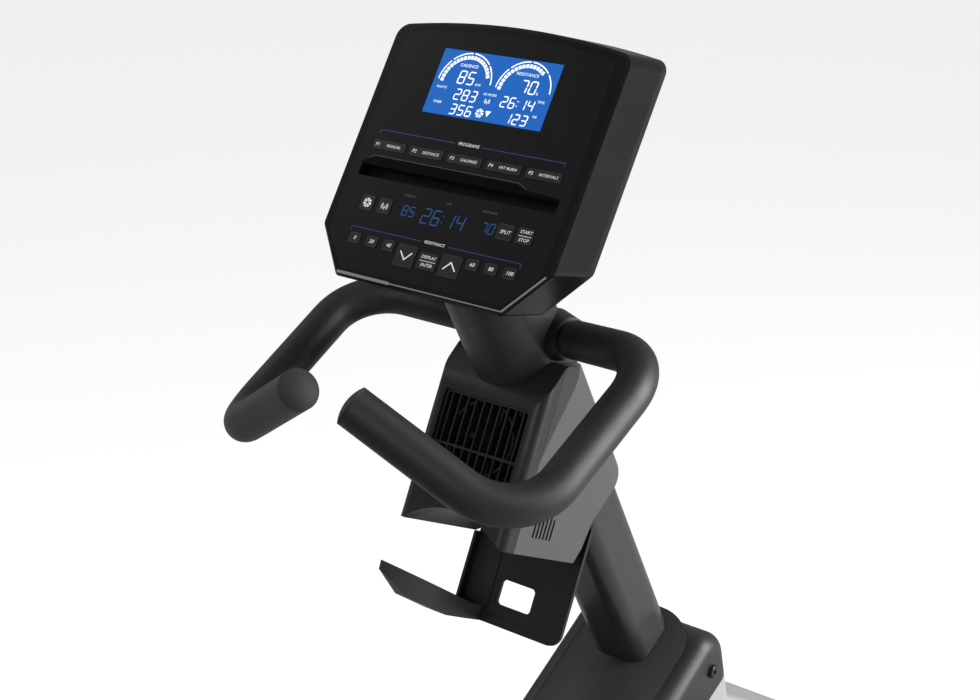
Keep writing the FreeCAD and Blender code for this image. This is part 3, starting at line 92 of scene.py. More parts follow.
camera = add_camera(
    (0.86663, -1.03106, 1.50748), (-0.56654, 0.74463, -0.35293), (0.795842, 0.605504, 0.0), 62.45
)
print("camera at", tuple(round(value, 3) for value in camera.location))

# %% [markdown]
# ## Studio
# Dark plastic only reads against light. A very large pale floor fills the view and glows
# a little, as a light table does, so shadows stay faint. The room looks white but gives
# less light than it shows, which keeps black parts black, and wide lamps draw long soft
# highlights on the tubes: the strongest one stands on the rider's right.

# %% Studio floor, room and lamps
def start_material(name):
    """A material with a joined Principled shader, and its node tree."""
    material = bpy.data.materials.new(name)
    material.use_nodes = True
    tree = material.node_tree
    tree.nodes.clear()
    output = tree.nodes.new("ShaderNodeOutputMaterial")
    shader = tree.nodes.new("ShaderNodeBsdfPrincipled")
    tree.links.new(shader.outputs["BSDF"], output.inputs["Surface"])
    return material, shader, tree


floor_paint, floor_shader, floor_tree = start_material("floor_paint")
floor_shader.inputs["Base Color"].default_value = (0.3, 0.3, 0.3, 1)
floor_shader.inputs["Emission Color"].default_value = (1.0, 1.0, 1.0, 1)
seen_light = floor_tree.nodes.new("ShaderNodeLightPath")
seen_glow = floor_tree.nodes.new("ShaderNodeMapRange")
seen_glow.inputs["To Min"].default_value = 0.2
seen_glow.inputs["To Max"].default_value = 0.8
floor_tree.links.new(seen_light.outputs["Is Camera Ray"], seen_glow.inputs["Value"])
floor_tree.links.new(seen_glow.outputs["Result"], floor_shader.inputs["Emission Strength"])
floor_shader.inputs["Roughness"].default_value = 0.9
floor_shader.inputs["Specular IOR Level"].default_value = 0.1


def add_floor(half):
    mesh = bpy.data.meshes.new("studio_floor")
    corners = [(-half, -half, 0), (half, -half, 0), (half, half, 0), (-half, half, 0)]
    mesh.from_pydata(corners, [], [(0, 1, 2, 3)])
    floor = add_object("studio_floor", mesh)
    mesh.materials.append(floor_paint)


def add_lamp(name, place, target, width, height, power):
    data = bpy.data.lights.new(name, "AREA")
    data.shape = "RECTANGLE"
    data.size = width
    data.size_y = height
    data.energy = power
    lamp = add_object(name, data)
    lamp.location = place
    aim = Vector(target) - Vector(place)
    lamp.rotation_euler = aim.to_track_quat("-Z", "Y").to_euler()


add_floor(60.0)


def add_room(seen, given):
    """A room that looks white to the camera and gives less light than it shows."""
    room = bpy.data.worlds.new("white_room")
    bpy.context.scene.world = room
    room.use_nodes = True
    tree = room.node_tree
    light = tree.nodes["Background"]
    light.inputs[0].default_value = (1.0, 1.0, 1.0, 1)
    ray = tree.nodes.new("ShaderNodeLightPath")
    strength = tree.nodes.new("ShaderNodeMapRange")
    strength.inputs["To Min"].default_value = given
    strength.inputs["To Max"].default_value = seen
    tree.links.new(ray.outputs["Is Camera Ray"], strength.inputs["Value"])
    tree.links.new(strength.outputs["Result"], light.inputs[1])


add_room(1.0, 0.2)
add_lamp("side_lamp", (2.4, 1.7, 1.7), (0, 0.2, 0.8), 1.4, 2.6, 165)
add_lamp("left_lamp", (-2.6, -0.6, 2.4), (0, 0, 0.9), 0.8, 2.0, 26)
add_lamp("front_lamp", (0.3, -2.8, 2.6), (0, -0.1, 0.8), 2.2, 0.8, 30)
bpy.context.scene.view_settings.view_transform = "Standard"
print("studio is set")

# %% [markdown]
# ## Shared surface effects
# Every plastic, paint and rubber here shares a few effects: a fine moulded grain, a
# soft blotchy wear from hands and cloths, and a film of dust on what faces up. Each is
# a node group, built once, with its amounts as named inputs.

# %% Node groups
def new_group(name, inputs, outputs):
    """An empty shader group with float, vector or colour sockets."""
    group = bpy.data.node_groups.new(name, "ShaderNodeTree")
    kinds = {"vector": "NodeSocketVector", "value": "NodeSocketFloat", "colour": "NodeSocketColor"}
    for label, kind in inputs:
        group.interface.new_socket(label, in_out="INPUT", socket_type=kinds[kind])
    for label, kind in outputs:
        group.interface.new_socket(label, in_out="OUTPUT", socket_type=kinds[kind])
    return group, group.nodes.new("NodeGroupInput"), group.nodes.new("NodeGroupOutput")


def maths(tree, operation, first, second=None, clamp=False):
    """A Math node; each operand is a socket or a number."""
    node = tree.nodes.new("ShaderNodeMath")
    node.operation = operation
    node.use_clamp = clamp
    for index, value in enumerate((first, second)):
        if value is None:
            continue
        if isinstance(value, (int, float)):
            node.inputs[index].default_value = value
        else:
            tree.links.new(value, node.inputs[index])
    return node.outputs[0]


def noise(tree, vector, scale, detail=3.0, rough=0.55):
    node = tree.nodes.new("ShaderNodeTexNoise")
    tree.links.new(vector, node.inputs["Vector"])
    if isinstance(scale, (int, float)):
        node.inputs["Scale"].default_value = scale
    else:
        tree.links.new(scale, node.inputs["Scale"])
    node.inputs["Detail"].default_value = detail
    node.inputs["Roughness"].default_value = rough
    return node.outputs["Fac"]


def build_moulded_grain():
    """Spark-eroded mould texture: two sizes of noise added together."""
    group, given, result = new_group(
        "moulded_grain", [("Vector", "vector"), ("Scale", "value")], [("Height", "value")]
    )
    fine = noise(group, given.outputs["Vector"], given.outputs["Scale"], 2.0)
    broad_scale = maths(group, "MULTIPLY", given.outputs["Scale"], 0.31)
    broad = noise(group, given.outputs["Vector"], broad_scale, 1.0)
    fine_part = maths(group, "MULTIPLY", fine, 0.65)
    mixed = maths(group, "ADD", fine_part, maths(group, "MULTIPLY", broad, 0.35))
    group.links.new(mixed, result.inputs["Height"])
    return group


def build_handling_wear():
    """Soft patches where a surface has been wiped and held."""
    group, given, result = new_group(
        "handling_wear",
        [("Vector", "vector"), ("Scale", "value"), ("Amount", "value")],
        [("Mask", "value")],
    )
    patches = noise(group, given.outputs["Vector"], given.outputs["Scale"], 5.0, 0.6)
    lifted = maths(group, "MULTIPLY", maths(group, "SUBTRACT", patches, 0.42), 3.2, True)
    mask = maths(group, "MULTIPLY", lifted, given.outputs["Amount"])
    group.links.new(mask, result.inputs["Mask"])
    return group


def build_dust_film():
    """Dust settles on what faces up, in faint drifts."""
    group, given, result = new_group(
        "dust_film", [("Vector", "vector"), ("Amount", "value")], [("Mask", "value")]
    )
    geometry = group.nodes.new("ShaderNodeNewGeometry")
    split = group.nodes.new("ShaderNodeSeparateXYZ")
    group.links.new(geometry.outputs["Normal"], split.inputs[0])
    facing = maths(group, "POWER", maths(group, "MAXIMUM", split.outputs["Z"], 0.0), 3.0)
    drift = noise(group, given.outputs["Vector"], 14.0, 4.0)
    settled = maths(group, "MULTIPLY", facing, drift)
    amount = maths(group, "MULTIPLY", settled, given.outputs["Amount"])
    group.links.new(amount, result.inputs["Mask"])
    return group


def build_pebble_leather():
    """Pebbled cover cloth: cells with soft valleys, plus faint creases. Shade is low in the valleys
    and darkens them there: painted shade.
    """
    group, given, result = new_group(
        "pebble_leather",
        [("Vector", "vector"), ("Scale", "value")],
        [("Height", "value"), ("Shade", "value")],
    )
    cells = group.nodes.new("ShaderNodeTexVoronoi")
    cells.feature = "DISTANCE_TO_EDGE"
    group.links.new(given.outputs["Vector"], cells.inputs["Vector"])
    group.links.new(given.outputs["Scale"], cells.inputs["Scale"])
    domes = maths(group, "MULTIPLY", cells.outputs["Distance"], 2.2, True)
    creases = noise(group, given.outputs["Vector"], 46.0, 5.0, 0.7)
    lifted = maths(group, "MULTIPLY", domes, 0.75)
    height = maths(group, "ADD", lifted, maths(group, "MULTIPLY", creases, 0.25))
    group.links.new(height, result.inputs["Height"])
    group.links.new(domes, result.inputs["Shade"])
    return group


GRAIN = build_moulded_grain()
WEAR = build_handling_wear()
DUST = build_dust_film()
PEBBLE = build_pebble_leather()
print("shared groups:", [group.name for group in (GRAIN, WEAR, DUST, PEBBLE)])

# %% [markdown]
# ## Finishes
# One function makes each plain finish, from the values a maker would give: colour,
# gloss, how coarse the grain is, and how much wear and dust it carries. Wear makes a
# surface slightly lighter and shinier; dust lightens and dulls it.

# %% Finish builder
DUST_COLOUR = (0.42, 0.41, 0.39)


def place_group(tree, group, vector, **values):
    node = tree.nodes.new("ShaderNodeGroup")
    node.node_tree = group
    tree.links.new(vector, node.inputs["Vector"])
    for label, value in values.items():
        node.inputs[label].default_value = value
    return node


def object_coordinates(tree):
    return tree.nodes.new("ShaderNodeTexCoord").outputs["Object"]


def mix_colour(tree, factor, first, second):
    node = tree.nodes.new("ShaderNodeMix")
    node.data_type = "RGBA"
    tree.links.new(factor, node.inputs[0])
    for index, value in ((6, first), (7, second)):
        if isinstance(value, tuple):
            node.inputs[index].default_value = (*value, 1)
        else:
            tree.links.new(value, node.inputs[index])
    return node.outputs[2]


def add_bump(tree, shader, height, strength, distance):
    bump = tree.nodes.new("ShaderNodeBump")
    bump.inputs["Strength"].default_value = strength
    bump.inputs["Distance"].default_value = distance
    tree.links.new(height, bump.inputs["Height"])
    tree.links.new(bump.outputs["Normal"], shader.inputs["Normal"])


def lighter(colour, share):
    return tuple(value + (1.0 - value) * share for value in colour)


def finish(
    name, colour, rough, metal=0.0, specular=0.5, grain=900.0, depth=0.12, wear=0.25,
    dust=0.06, coat=0.0,
):
    """A moulded, painted or machined surface."""
    material, shader, tree = start_material(name)
    where = object_coordinates(tree)
    texture = place_group(tree, GRAIN, where, Scale=grain).outputs["Height"]
    worn = place_group(tree, WEAR, where, Scale=9.0, Amount=wear).outputs["Mask"]
    dusty = place_group(tree, DUST, where, Amount=dust).outputs["Mask"]
    base = mix_colour(tree, worn, colour, lighter(colour, 0.03))
    base = mix_colour(tree, dusty, base, DUST_COLOUR)
    tree.links.new(base, shader.inputs["Base Color"])
    speckle = maths(tree, "MULTIPLY", maths(tree, "SUBTRACT", texture, 0.5), 0.16)
    smooth = maths(tree, "MULTIPLY", worn, -0.09)
    dull = maths(tree, "MULTIPLY", dusty, 0.5)
    total = maths(tree, "ADD", maths(tree, "ADD", speckle, smooth), dull)
    tree.links.new(maths(tree, "ADD", total, rough, True), shader.inputs["Roughness"])
    shader.inputs["Metallic"].default_value = metal
    shader.inputs["Specular IOR Level"].default_value = specular
    shader.inputs["Coat Weight"].default_value = coat
    shader.inputs["Coat Roughness"].default_value = 0.12
    add_bump(tree, shader, texture, depth, 0.0004)
    return material


def glowing(name, colour, glow, strength, rough=0.3):
    """A colour that gives light of its own. Display segments are lit from behind; on print and key
    outlines the glow is painted light.
    """
    material, shader, tree = start_material(name)
    where = object_coordinates(tree)
    flicker = noise(tree, where, 260.0, 1.0)
    tint = mix_colour(tree, flicker, colour, lighter(colour, 0.06))
    tree.links.new(tint, shader.inputs["Base Color"])
    shader.inputs["Roughness"].default_value = rough
    shader.inputs["Specular IOR Level"].default_value = 0.15
    shader.inputs["Emission Color"].default_value = (*glow, 1)
    shader.inputs["Emission Strength"].default_value = strength
    return material


# %% [markdown]
# ## The palette
# The bike is nearly all black and charcoal, so the finishes differ by gloss and grain
# more than by colour: glassy panel, satin console shell, dull foam, powder-coated
# steel. Only the display is bright.

# %% Palette
panel_black = finish(
    "panel_black", (0.0125, 0.0125, 0.013), 0.3, specular=0.1, grain=2400, depth=0.03, wear=0.1,
    dust=0.0
)
bezel_black = finish(
    "bezel_black", (0.0075, 0.0075, 0.008), 0.24, specular=0.14, grain=1700, depth=0.05, wear=0.2,
    dust=0.01
)
shell_black = finish(
    "shell_black", (0.008, 0.008, 0.0085), 0.34, specular=0.14, grain=1500, depth=0.1, dust=0.02
)
neck_plastic = finish(
    "neck_plastic", (0.021, 0.021, 0.0215), 0.4, specular=0.35, grain=1300, depth=0.12, dust=0.02
)
pod_front_black = finish(
    "pod_front_black", (0.016, 0.016, 0.0165), 0.4, specular=0.3, grain=1300, depth=0.12,
    dust=0.02
)
grille_black = finish(
    "grille_black", (0.022, 0.022, 0.022), 0.4, specular=0.3, grain=1500, depth=0.08, dust=0.01
)
# the rotor's black plastic is made darker still, for the shade inside the pod behind the grille:
# painted shade
rotor_black_painted_shade = finish(
    "rotor_black_painted_shade", (0.003, 0.003, 0.003), 0.6, specular=0.1, grain=1200, depth=0.1, dust=0.0
)
holder_plastic = finish(
    "holder_plastic", (0.012, 0.012, 0.0125), 0.34, specular=0.35, grain=1300, depth=0.1,
    dust=0.02
)
mast_paint = finish(
    "mast_paint", (0.042, 0.042, 0.044), 0.32, metal=0.5, specular=0.5, grain=700, depth=0.16,
    wear=0.2, coat=0.15
)
frame_paint = finish(
    "frame_paint", (0.035, 0.035, 0.037), 0.38, metal=0.25, grain=700, depth=0.18, coat=0.12
)
crank_paint = finish(
    "crank_paint", (0.02, 0.02, 0.021), 0.32, metal=0.6, grain=800, depth=0.12, coat=0.1
)
bar_paint = finish("bar_paint", (0.02, 0.02, 0.021), 0.36, metal=0.2, grain=800, depth=0.12)
rubber_black = finish(
    "rubber_black", (0.016, 0.016, 0.016), 0.68, specular=0.35, grain=1100, depth=0.25, dust=0.08
)
pedal_black = finish(
    "pedal_black", (0.016, 0.016, 0.016), 0.5, grain=1200, depth=0.22, wear=0.5, dust=0.05
)
bright_steel = finish(
    "bright_steel", (0.62, 0.62, 0.63), 0.24, metal=1.0, grain=500, depth=0.06, wear=0.4,
    dust=0.03
)
black_screw = finish("black_screw", (0.03, 0.03, 0.03), 0.3, metal=0.8, grain=900, depth=0.05)
rail_aluminium = finish(
    "rail_aluminium", (0.5, 0.5, 0.51), 0.3, metal=1.0, grain=420, depth=0.08, wear=0.5
)
cast_iron = finish("cast_iron", (0.16, 0.155, 0.15), 0.5, metal=0.9, grain=380, depth=0.3)
board_green = finish("board_green", (0.01, 0.09, 0.035), 0.4, grain=600, depth=0.1)
belt_rubber = finish("belt_rubber", (0.012, 0.012, 0.012), 0.75, grain=900, depth=0.3)
key_black = finish(
    "key_black", (0.0165, 0.0155, 0.0155), 0.42, specular=0.2, grain=2400, depth=0.04, wear=0.3,
    dust=0.0
)
webbing = finish("webbing", (0.014, 0.014, 0.014), 0.62, grain=1500, depth=0.35, wear=0.4)
reflector_amber = finish(
    "reflector_amber", (0.75, 0.2, 0.01), 0.14, specular=0.6, grain=700, depth=0.4, wear=0.0,
    dust=0.0, coat=0.5
)
# near-black, darker than the panel, for the slot's lip: painted shade
slot_painted_shade_black = finish(
    "slot_painted_shade_black", (0.0022, 0.0022, 0.0024), 0.18, specular=0.12, grain=2400, depth=0.02, wear=0.1,
    dust=0.0
)
# a light grey for the shine along the bezel's lower bevel: painted highlight
bezel_highlight_grey = finish(
    "bezel_highlight_grey", (0.34, 0.34, 0.34), 0.28, metal=0.4, grain=1800, depth=0.04, wear=0.2, dust=0.0
)
# print, key outlines and rail marks glow faintly though no lamp lights them: painted light
print_white_painted_glow = glowing("print_white_painted_glow", (0.8, 0.8, 0.8), (0.8, 0.8, 0.8), 0.35)
print_grey_painted_glow = glowing("print_grey_painted_glow", (0.12, 0.12, 0.12), (0.1, 0.1, 0.1), 0.05)
print_blue_painted_glow = glowing("print_blue_painted_glow", (0.02, 0.045, 0.19), (0.02, 0.05, 0.2), 0.12)
key_outline_painted_glow = glowing("key_outline_painted_glow", (0.035, 0.033, 0.034), (0.03, 0.03, 0.03), 0.02)
blue_key_outline_painted_glow = glowing("blue_key_outline_painted_glow", (0.014, 0.02, 0.09), (0.01, 0.02, 0.1), 0.08)
led_blue = glowing("led_blue", (0.004, 0.03, 0.11), (0.005, 0.055, 0.2), 0.75)
segment_white = glowing("segment_white", (0.8, 0.85, 0.9), (0.9, 0.95, 1.0), 0.75)
thread_grey = finish("thread_grey", (0.1, 0.1, 0.1), 0.7, grain=2600, depth=0.3)
print("palette ready:", len(bpy.data.materials), "materials")

# %% [markdown]
# The display has its own finish: a blue backlight behind a grid of fine dots, a little
# brighter in soft, uneven patches.

# %% Display backlight
def build_backlight():
    material, shader, tree = start_material("blue_backlight")
    where = object_coordinates(tree)
    split = tree.nodes.new("ShaderNodeSeparateXYZ")
    tree.links.new(where, split.inputs[0])
    across = maths(tree, "SINE", maths(tree, "MULTIPLY", split.outputs["X"], 15000.0))
    upward = maths(tree, "SINE", maths(tree, "MULTIPLY", split.outputs["Z"], 15000.0))
    dots = maths(tree, "MULTIPLY", maths(tree, "MULTIPLY", across, upward), 0.12)
    cloud = maths(tree, "MULTIPLY", noise(tree, where, 11.0, 1.0), 0.35)
    mask = maths(tree, "ADD", maths(tree, "ADD", dots, cloud), 0.3, True)
    colour = mix_colour(tree, mask, (0.0095, 0.095, 0.38), (0.014, 0.125, 0.48))
    tree.links.new(colour, shader.inputs["Base Color"])
    tree.links.new(colour, shader.inputs["Emission Color"])
    shader.inputs["Emission Strength"].default_value = 0.62
    shader.inputs["Roughness"].default_value = 0.3
    shader.inputs["Specular IOR Level"].default_value = 0.12
    return material


blue_backlight = build_backlight()

# %% [markdown]
# The front body is moulded in two colours: charcoal above, along the sloping deck, and
# light grey below. The step between them runs parallel to the deck, so one material can
# hold both colours: it measures how far a point is below that line. A narrow dark
# groove marks where the two mouldings meet.

# %% Two-colour body shell
CHARCOAL = (0.02, 0.02, 0.0205)
SHELL_ROUGHNESS, SHELL_SPECKLE = 0.36, 0.12
DECK_SLOPE, STEP_Y, STEP_Z = 0.45, 0.422, 0.500


def moulded_gloss(tree, shader, texture, specular):
    """The satin gloss of both mouldings, slightly uneven with the grain."""
    speckle = maths(tree, "MULTIPLY", texture, SHELL_SPECKLE)
    tree.links.new(maths(tree, "ADD", speckle, SHELL_ROUGHNESS), shader.inputs["Roughness"])
    shader.inputs["Specular IOR Level"].default_value = specular


def build_body_shell():
    material, shader, tree = start_material("body_shell")
    where = object_coordinates(tree)
    split = tree.nodes.new("ShaderNodeSeparateXYZ")
    tree.links.new(where, split.inputs[0])
    rise = maths(tree, "MULTIPLY", maths(tree, "SUBTRACT", split.outputs["Y"], STEP_Y), DECK_SLOPE)
    height = maths(tree, "SUBTRACT", maths(tree, "SUBTRACT", split.outputs["Z"], STEP_Z), rise)
    above = maths(tree, "MULTIPLY", maths(tree, "ADD", height, 0.0004), 1200.0, True)
    beside = maths(tree, "MULTIPLY", maths(tree, "ABSOLUTE", height), 620.0, True)
    groove = maths(tree, "SUBTRACT", 1.0, beside)
    texture = place_group(tree, GRAIN, where, Scale=1200.0).outputs["Height"]
    dusty = place_group(tree, DUST, where, Amount=0.05).outputs["Mask"]
    worn = place_group(tree, WEAR, where, Scale=7.0, Amount=0.3).outputs["Mask"]
    grey = mix_colour(tree, worn, (0.36, 0.36, 0.365), (0.4, 0.4, 0.4))
    charcoal = mix_colour(tree, worn, CHARCOAL, (0.027, 0.027, 0.0275))
    colour = mix_colour(tree, above, grey, charcoal)
    colour = mix_colour(tree, groove, colour, (0.006, 0.006, 0.006))
    colour = mix_colour(tree, dusty, colour, DUST_COLOUR)
    tree.links.new(colour, shader.inputs["Base Color"])
    moulded_gloss(tree, shader, texture, 0.4)
    relief = maths(tree, "SUBTRACT", maths(tree, "MULTIPLY", texture, 0.12), groove)
    add_bump(tree, shader, relief, 0.5, 0.0012)
    return material


body_shell = build_body_shell()

# %% [markdown]
# The fan pod is dark in front and grey at the sides. The border runs up the pod parallel
# to its front and then bends back over its shoulder, so it is the nearer of two lines.

# %% Two-colour pod side
def build_pod_side():
    material, shader, tree = start_material("pod_side")
    where = object_coordinates(tree)
    split = tree.nodes.new("ShaderNodeSeparateXYZ")
    tree.links.new(where, split.inputs[0])
    behind = None
    for start_y, start_z, angle in ((0.061, 0.806, 27.5), (0.093, 0.868, 45.0)):
        across, up = math.cos(math.radians(angle)), math.sin(math.radians(angle))
        past = maths(tree, "SUBTRACT", split.outputs["Y"], start_y)
        aside = maths(tree, "MULTIPLY", past, across)
        over = maths(tree, "SUBTRACT", split.outputs["Z"], start_z)
        gap = maths(tree, "SUBTRACT", aside, maths(tree, "MULTIPLY", over, up))
        behind = gap if behind is None else maths(tree, "MINIMUM", behind, gap)
    light = maths(tree, "MULTIPLY", behind, 1500.0, True)
    texture = place_group(tree, GRAIN, where, Scale=1300.0).outputs["Height"]
    worn = place_group(tree, WEAR, where, Scale=8.0, Amount=0.3).outputs["Mask"]
    grey = mix_colour(tree, worn, (0.072, 0.072, 0.074), (0.085, 0.085, 0.087))
    colour = mix_colour(tree, light, CHARCOAL, grey)
    tree.links.new(colour, shader.inputs["Base Color"])
    moulded_gloss(tree, shader, texture, 0.35)
    add_bump(tree, shader, texture, 0.14, 0.0004)
    return material


pod_side = build_pod_side()
deck_black = finish(
    "deck_black", (0.022, 0.022, 0.0225), 0.4, specular=0.4, grain=1200, depth=0.12, dust=0.04
)

# %% [markdown]
# The cushions are covered in pebbled cover cloth. Its grain is a field of rounded
# cells, and a touch of sheen keeps it from looking like plastic.

# %% Cushion cover
def build_cover_cloth():
    material, shader, tree = start_material("cover_cloth")
    where = object_coordinates(tree)
    pebble = place_group(tree, PEBBLE, where, Scale=620.0)
    worn = place_group(tree, WEAR, where, Scale=6.0, Amount=0.6).outputs["Mask"]
    # the cover is coloured darker in the valleys between the pebbles: painted shade
    base = mix_colour(tree, pebble.outputs["Shade"], (0.011, 0.011, 0.0115), (0.024, 0.024, 0.025))
    base = mix_colour(tree, worn, base, (0.034, 0.034, 0.035))
    tree.links.new(base, shader.inputs["Base Color"])
    rough = maths(tree, "SUBTRACT", 0.6, maths(tree, "MULTIPLY", worn, 0.12))
    tree.links.new(rough, shader.inputs["Roughness"])
    shader.inputs["Sheen Weight"].default_value = 0.12
    shader.inputs["Specular IOR Level"].default_value = 0.4
    add_bump(tree, shader, pebble.outputs["Height"], 0.5, 0.0006)
    return material


cover_cloth = build_cover_cloth()

# %% [markdown]
# Foam grips are dull and very finely porous, with faint rubbed patches.

# %% Grip foam
def build_grip_foam():
    material, shader, tree = start_material("grip_foam")
    where = object_coordinates(tree)
    pores = place_group(tree, GRAIN, where, Scale=1600.0).outputs["Height"]
    rubbed = place_group(tree, WEAR, where, Scale=16.0, Amount=0.7).outputs["Mask"]
    base = mix_colour(tree, pores, (0.011, 0.011, 0.0113), (0.02, 0.02, 0.0205))
    base = mix_colour(tree, rubbed, base, (0.022, 0.022, 0.0225))
    tree.links.new(base, shader.inputs["Base Color"])
    rough = maths(tree, "SUBTRACT", 0.5, maths(tree, "MULTIPLY", rubbed, 0.08))
    tree.links.new(rough, shader.inputs["Roughness"])
    shader.inputs["Specular IOR Level"].default_value = 0.45
    add_bump(tree, shader, pores, 0.25, 0.0005)
    return material


grip_foam = build_grip_foam()

# %% [markdown]
# ## Dress the solids
# Each solid keeps its shape and only changes its finish.

# %% Assign finishes
DRESS = {
    panel_black: ["display_panel"],
    bezel_black: ["console_bezel"],
    shell_black: ["console_back_cover"],
    blue_backlight: ["lcd_screen"],
    board_green: ["circuit_board"],
    neck_plastic: ["neck_cover"],
    mast_paint: ["mast_tube"],
    bar_paint: ["handlebar_tube"],
    grip_foam: ["handlebar_grips", "seat_handle_grips"],
    rubber_black: [
        "handlebar_end_caps", "levelling_feet", "left_transport_wheel", "right_transport_wheel",
    ],
    pod_front_black: ["fan_front_cover"],
    pod_side: ["fan_side_cover"],
    grille_black: ["fan_grille"],
    rotor_black_painted_shade: ["fan_rotor"],
    holder_plastic: ["bottle_holder"],
    frame_paint: [
        "main_frame", "front_stabiliser", "rear_stabiliser", "seat_carriage", "seat_frame",
        "seat_lever",
    ],
    body_shell: ["left_shroud", "right_shroud"],
    deck_black: ["top_cover"],
    crank_paint: ["left_crank_arm", "right_crank_arm", "drive_pulley", "brake_magnets"],
    bright_steel: ["crank_axle", "bearings"],
    pedal_black: ["left_pedal", "right_pedal"],
    belt_rubber: ["drive_belt"],
    cast_iron: ["flywheel"],
    rail_aluminium: ["seat_rail"],
    black_screw: ["screws"],
    cover_cloth: ["seat_cushion", "back_cushion"],
}
key_names = sorted(name for name in nodes if name.startswith("key_"))
DRESS[key_black] = key_names


def repaint(mesh, material):
    mesh.materials.clear()
    mesh.materials.append(material)


for coat, names in DRESS.items():
    for name in names:
        repaint(nodes[name].data, coat)
print("dressed", sum(len(names) for names in DRESS.values()), "solids")

# %% [markdown]
# ## Print on the console
# The console's face leans back, so its print is laid out flat, in millimetres across
# (x) and up the face (u), and then carried onto the face. Each mark is a very thin
# solid, as thick as a coat of screen ink.

# %% Console face frame
CONSOLE_LEAN = math.radians(34.29)
FACE_UP = Vector((0, math.sin(CONSOLE_LEAN), math.cos(CONSOLE_LEAN)))
FACE_OUT = Vector((0, -math.cos(CONSOLE_LEAN), math.sin(CONSOLE_LEAN)))
screen_low, screen_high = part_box("lcd_screen")
SCREEN_MIDDLE = 3.065 * MM
FACE_ORIGIN = (screen_low + screen_high) / 2 + FACE_OUT * SCREEN_MIDDLE
PANEL_TOP, KEY_TOP, SCREEN_TOP = 0.0, 0.5, -0.15
INK, INK_LIFT = 0.06, 0.01


def on_face(x, u, n):
    """A point of the console's face from millimetres."""
    return FACE_ORIGIN + Vector((x * MM, 0, 0)) + FACE_UP * (u * MM) + FACE_OUT * (n * MM)


def polar(x, u, radius, angle):
    """The point at a radius and angle from (x, u)."""
    return x + radius * math.cos(angle), u + radius * math.sin(angle)


def prism(bm, outline, level):
    """A thin ink solid with the given outline, listed anticlockwise."""
    lower = [bm.verts.new(on_face(x, u, level + INK_LIFT)) for x, u in outline]
    upper = [bm.verts.new(on_face(x, u, level + INK)) for x, u in outline]
    bm.faces.new(upper)
    bm.faces.new(lower[::-1])
    count = len(outline)
    for index in range(count):
        after = (index + 1) % count
        bm.faces.new((lower[index], lower[after], upper[after], upper[index]))


def stroke(bm, start, end, width, level):
    """A straight line of ink."""
    a, b = Vector(start), Vector(end)
    side = (b - a).normalized() * (width / 2)
    side = Vector((-side.y, side.x))
    prism(bm, [tuple(a - side), tuple(b - side), tuple(b + side), tuple(a + side)], level)


def keep(bm, name, material, body):
    """Turn a bmesh into a finished piece that rides on a body."""
    mesh = as_mesh(bm, name)
    mesh.materials.append(material)
    piece = add_object(name, mesh)
    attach(piece, body)


# %% [markdown]
# Words come from Blender's own typeface, slanted a little, turned into a mesh and then
# carried onto the face like any other mark.

# %% Lettering
EM_PER_CAPITAL = 1.38


def evaluated_mesh(holder):
    """A plain mesh of what an object shows."""
    bpy.context.view_layer.update()
    shown = holder.evaluated_get(bpy.context.evaluated_depsgraph_get())
    return bpy.data.meshes.new_from_object(shown)


def word_mesh(words, height, thickness, slant=0.0, spacing=1.0):
    """Words of a given capital height as a flat mesh, centred on the origin."""
    curve = bpy.data.curves.new("words", "FONT")
    curve.body = words
    curve.align_x = "CENTER"
    curve.align_y = "CENTER"
    curve.size = height * EM_PER_CAPITAL
    curve.shear = slant
    curve.space_character = spacing
    curve.resolution_u = 3
    curve.extrude = thickness / 2
    holder = add_object("words", curve)
    mesh = evaluated_mesh(holder)
    bpy.data.objects.remove(holder)
    return mesh


def lettering(bm, words, x, u, height, level, slant=0.18):
    """Write words on the face, centred on (x, u)."""
    mesh = word_mesh(words, height, INK - INK_LIFT, slant, 1.06)
    middle = level + (INK + INK_LIFT) / 2
    for vertex in mesh.vertices:
        vertex.co = on_face(x + vertex.co.x, u + vertex.co.y, middle + vertex.co.z)
    bm.from_mesh(mesh)
    bpy.data.meshes.remove(mesh)


# %% [markdown]
# Numbers on a display are drawn with seven bars. Each bar is a six-sided lozenge, and a
# table says which bars each digit lights.

# %% Seven-bar digits
BARS = {
    "0": "abcdef", "1": "bc", "2": "abged", "3": "abgcd", "4": "fgbc",
    "5": "afgcd", "6": "afgedc", "7": "abc", "8": "abcdefg", "9": "abcdfg",
}


def bar(bm, start, end, width, level, skew, base):
    """One lozenge bar between two points of an upright digit."""
    a, b = Vector(start), Vector(end)
    along = (b - a).normalized()
    side = Vector((-along.y, along.x)) * (width / 2)
    tip = along * (width / 2)
    a, b = a + tip * 1.15, b - tip * 1.15
    outline = [a - tip, a - side, b - side, b + tip, b + side, a + side]
    prism(bm, [(p.x + (p.y - base) * skew, p.y) for p in outline], level)


def digits(bm, text, x, u, width, height, pitch, level, thick, skew=0.12):
    """Digits from the left edge x, with their middle at u."""
    low, high = u - height / 2 + thick / 2, u + height / 2 - thick / 2
    place = x
    for mark in text:
        if mark == ":":
            for level_u in (u - height * 0.2, u + height * 0.2):
                centre = place + thick * 0.4 + (level_u - low) * skew
                foot, head = (centre, level_u - thick / 2), (centre, level_u + thick / 2)
                stroke(bm, foot, head, thick, level)
            place += pitch * 0.36
            continue
        left, right = place + thick / 2, place + width - thick / 2
        ends = {
            "a": ((left, high), (right, high)),
            "g": ((left, u), (right, u)),
            "d": ((left, low), (right, low)),
            "f": ((left, u), (left, high)), "b": ((right, u), (right, high)),
            "e": ((left, low), (left, u)), "c": ((right, low), (right, u)),
        }
        for label in BARS[mark]:
            bar(bm, *ends[label], thick, level, skew, low)
        place += pitch


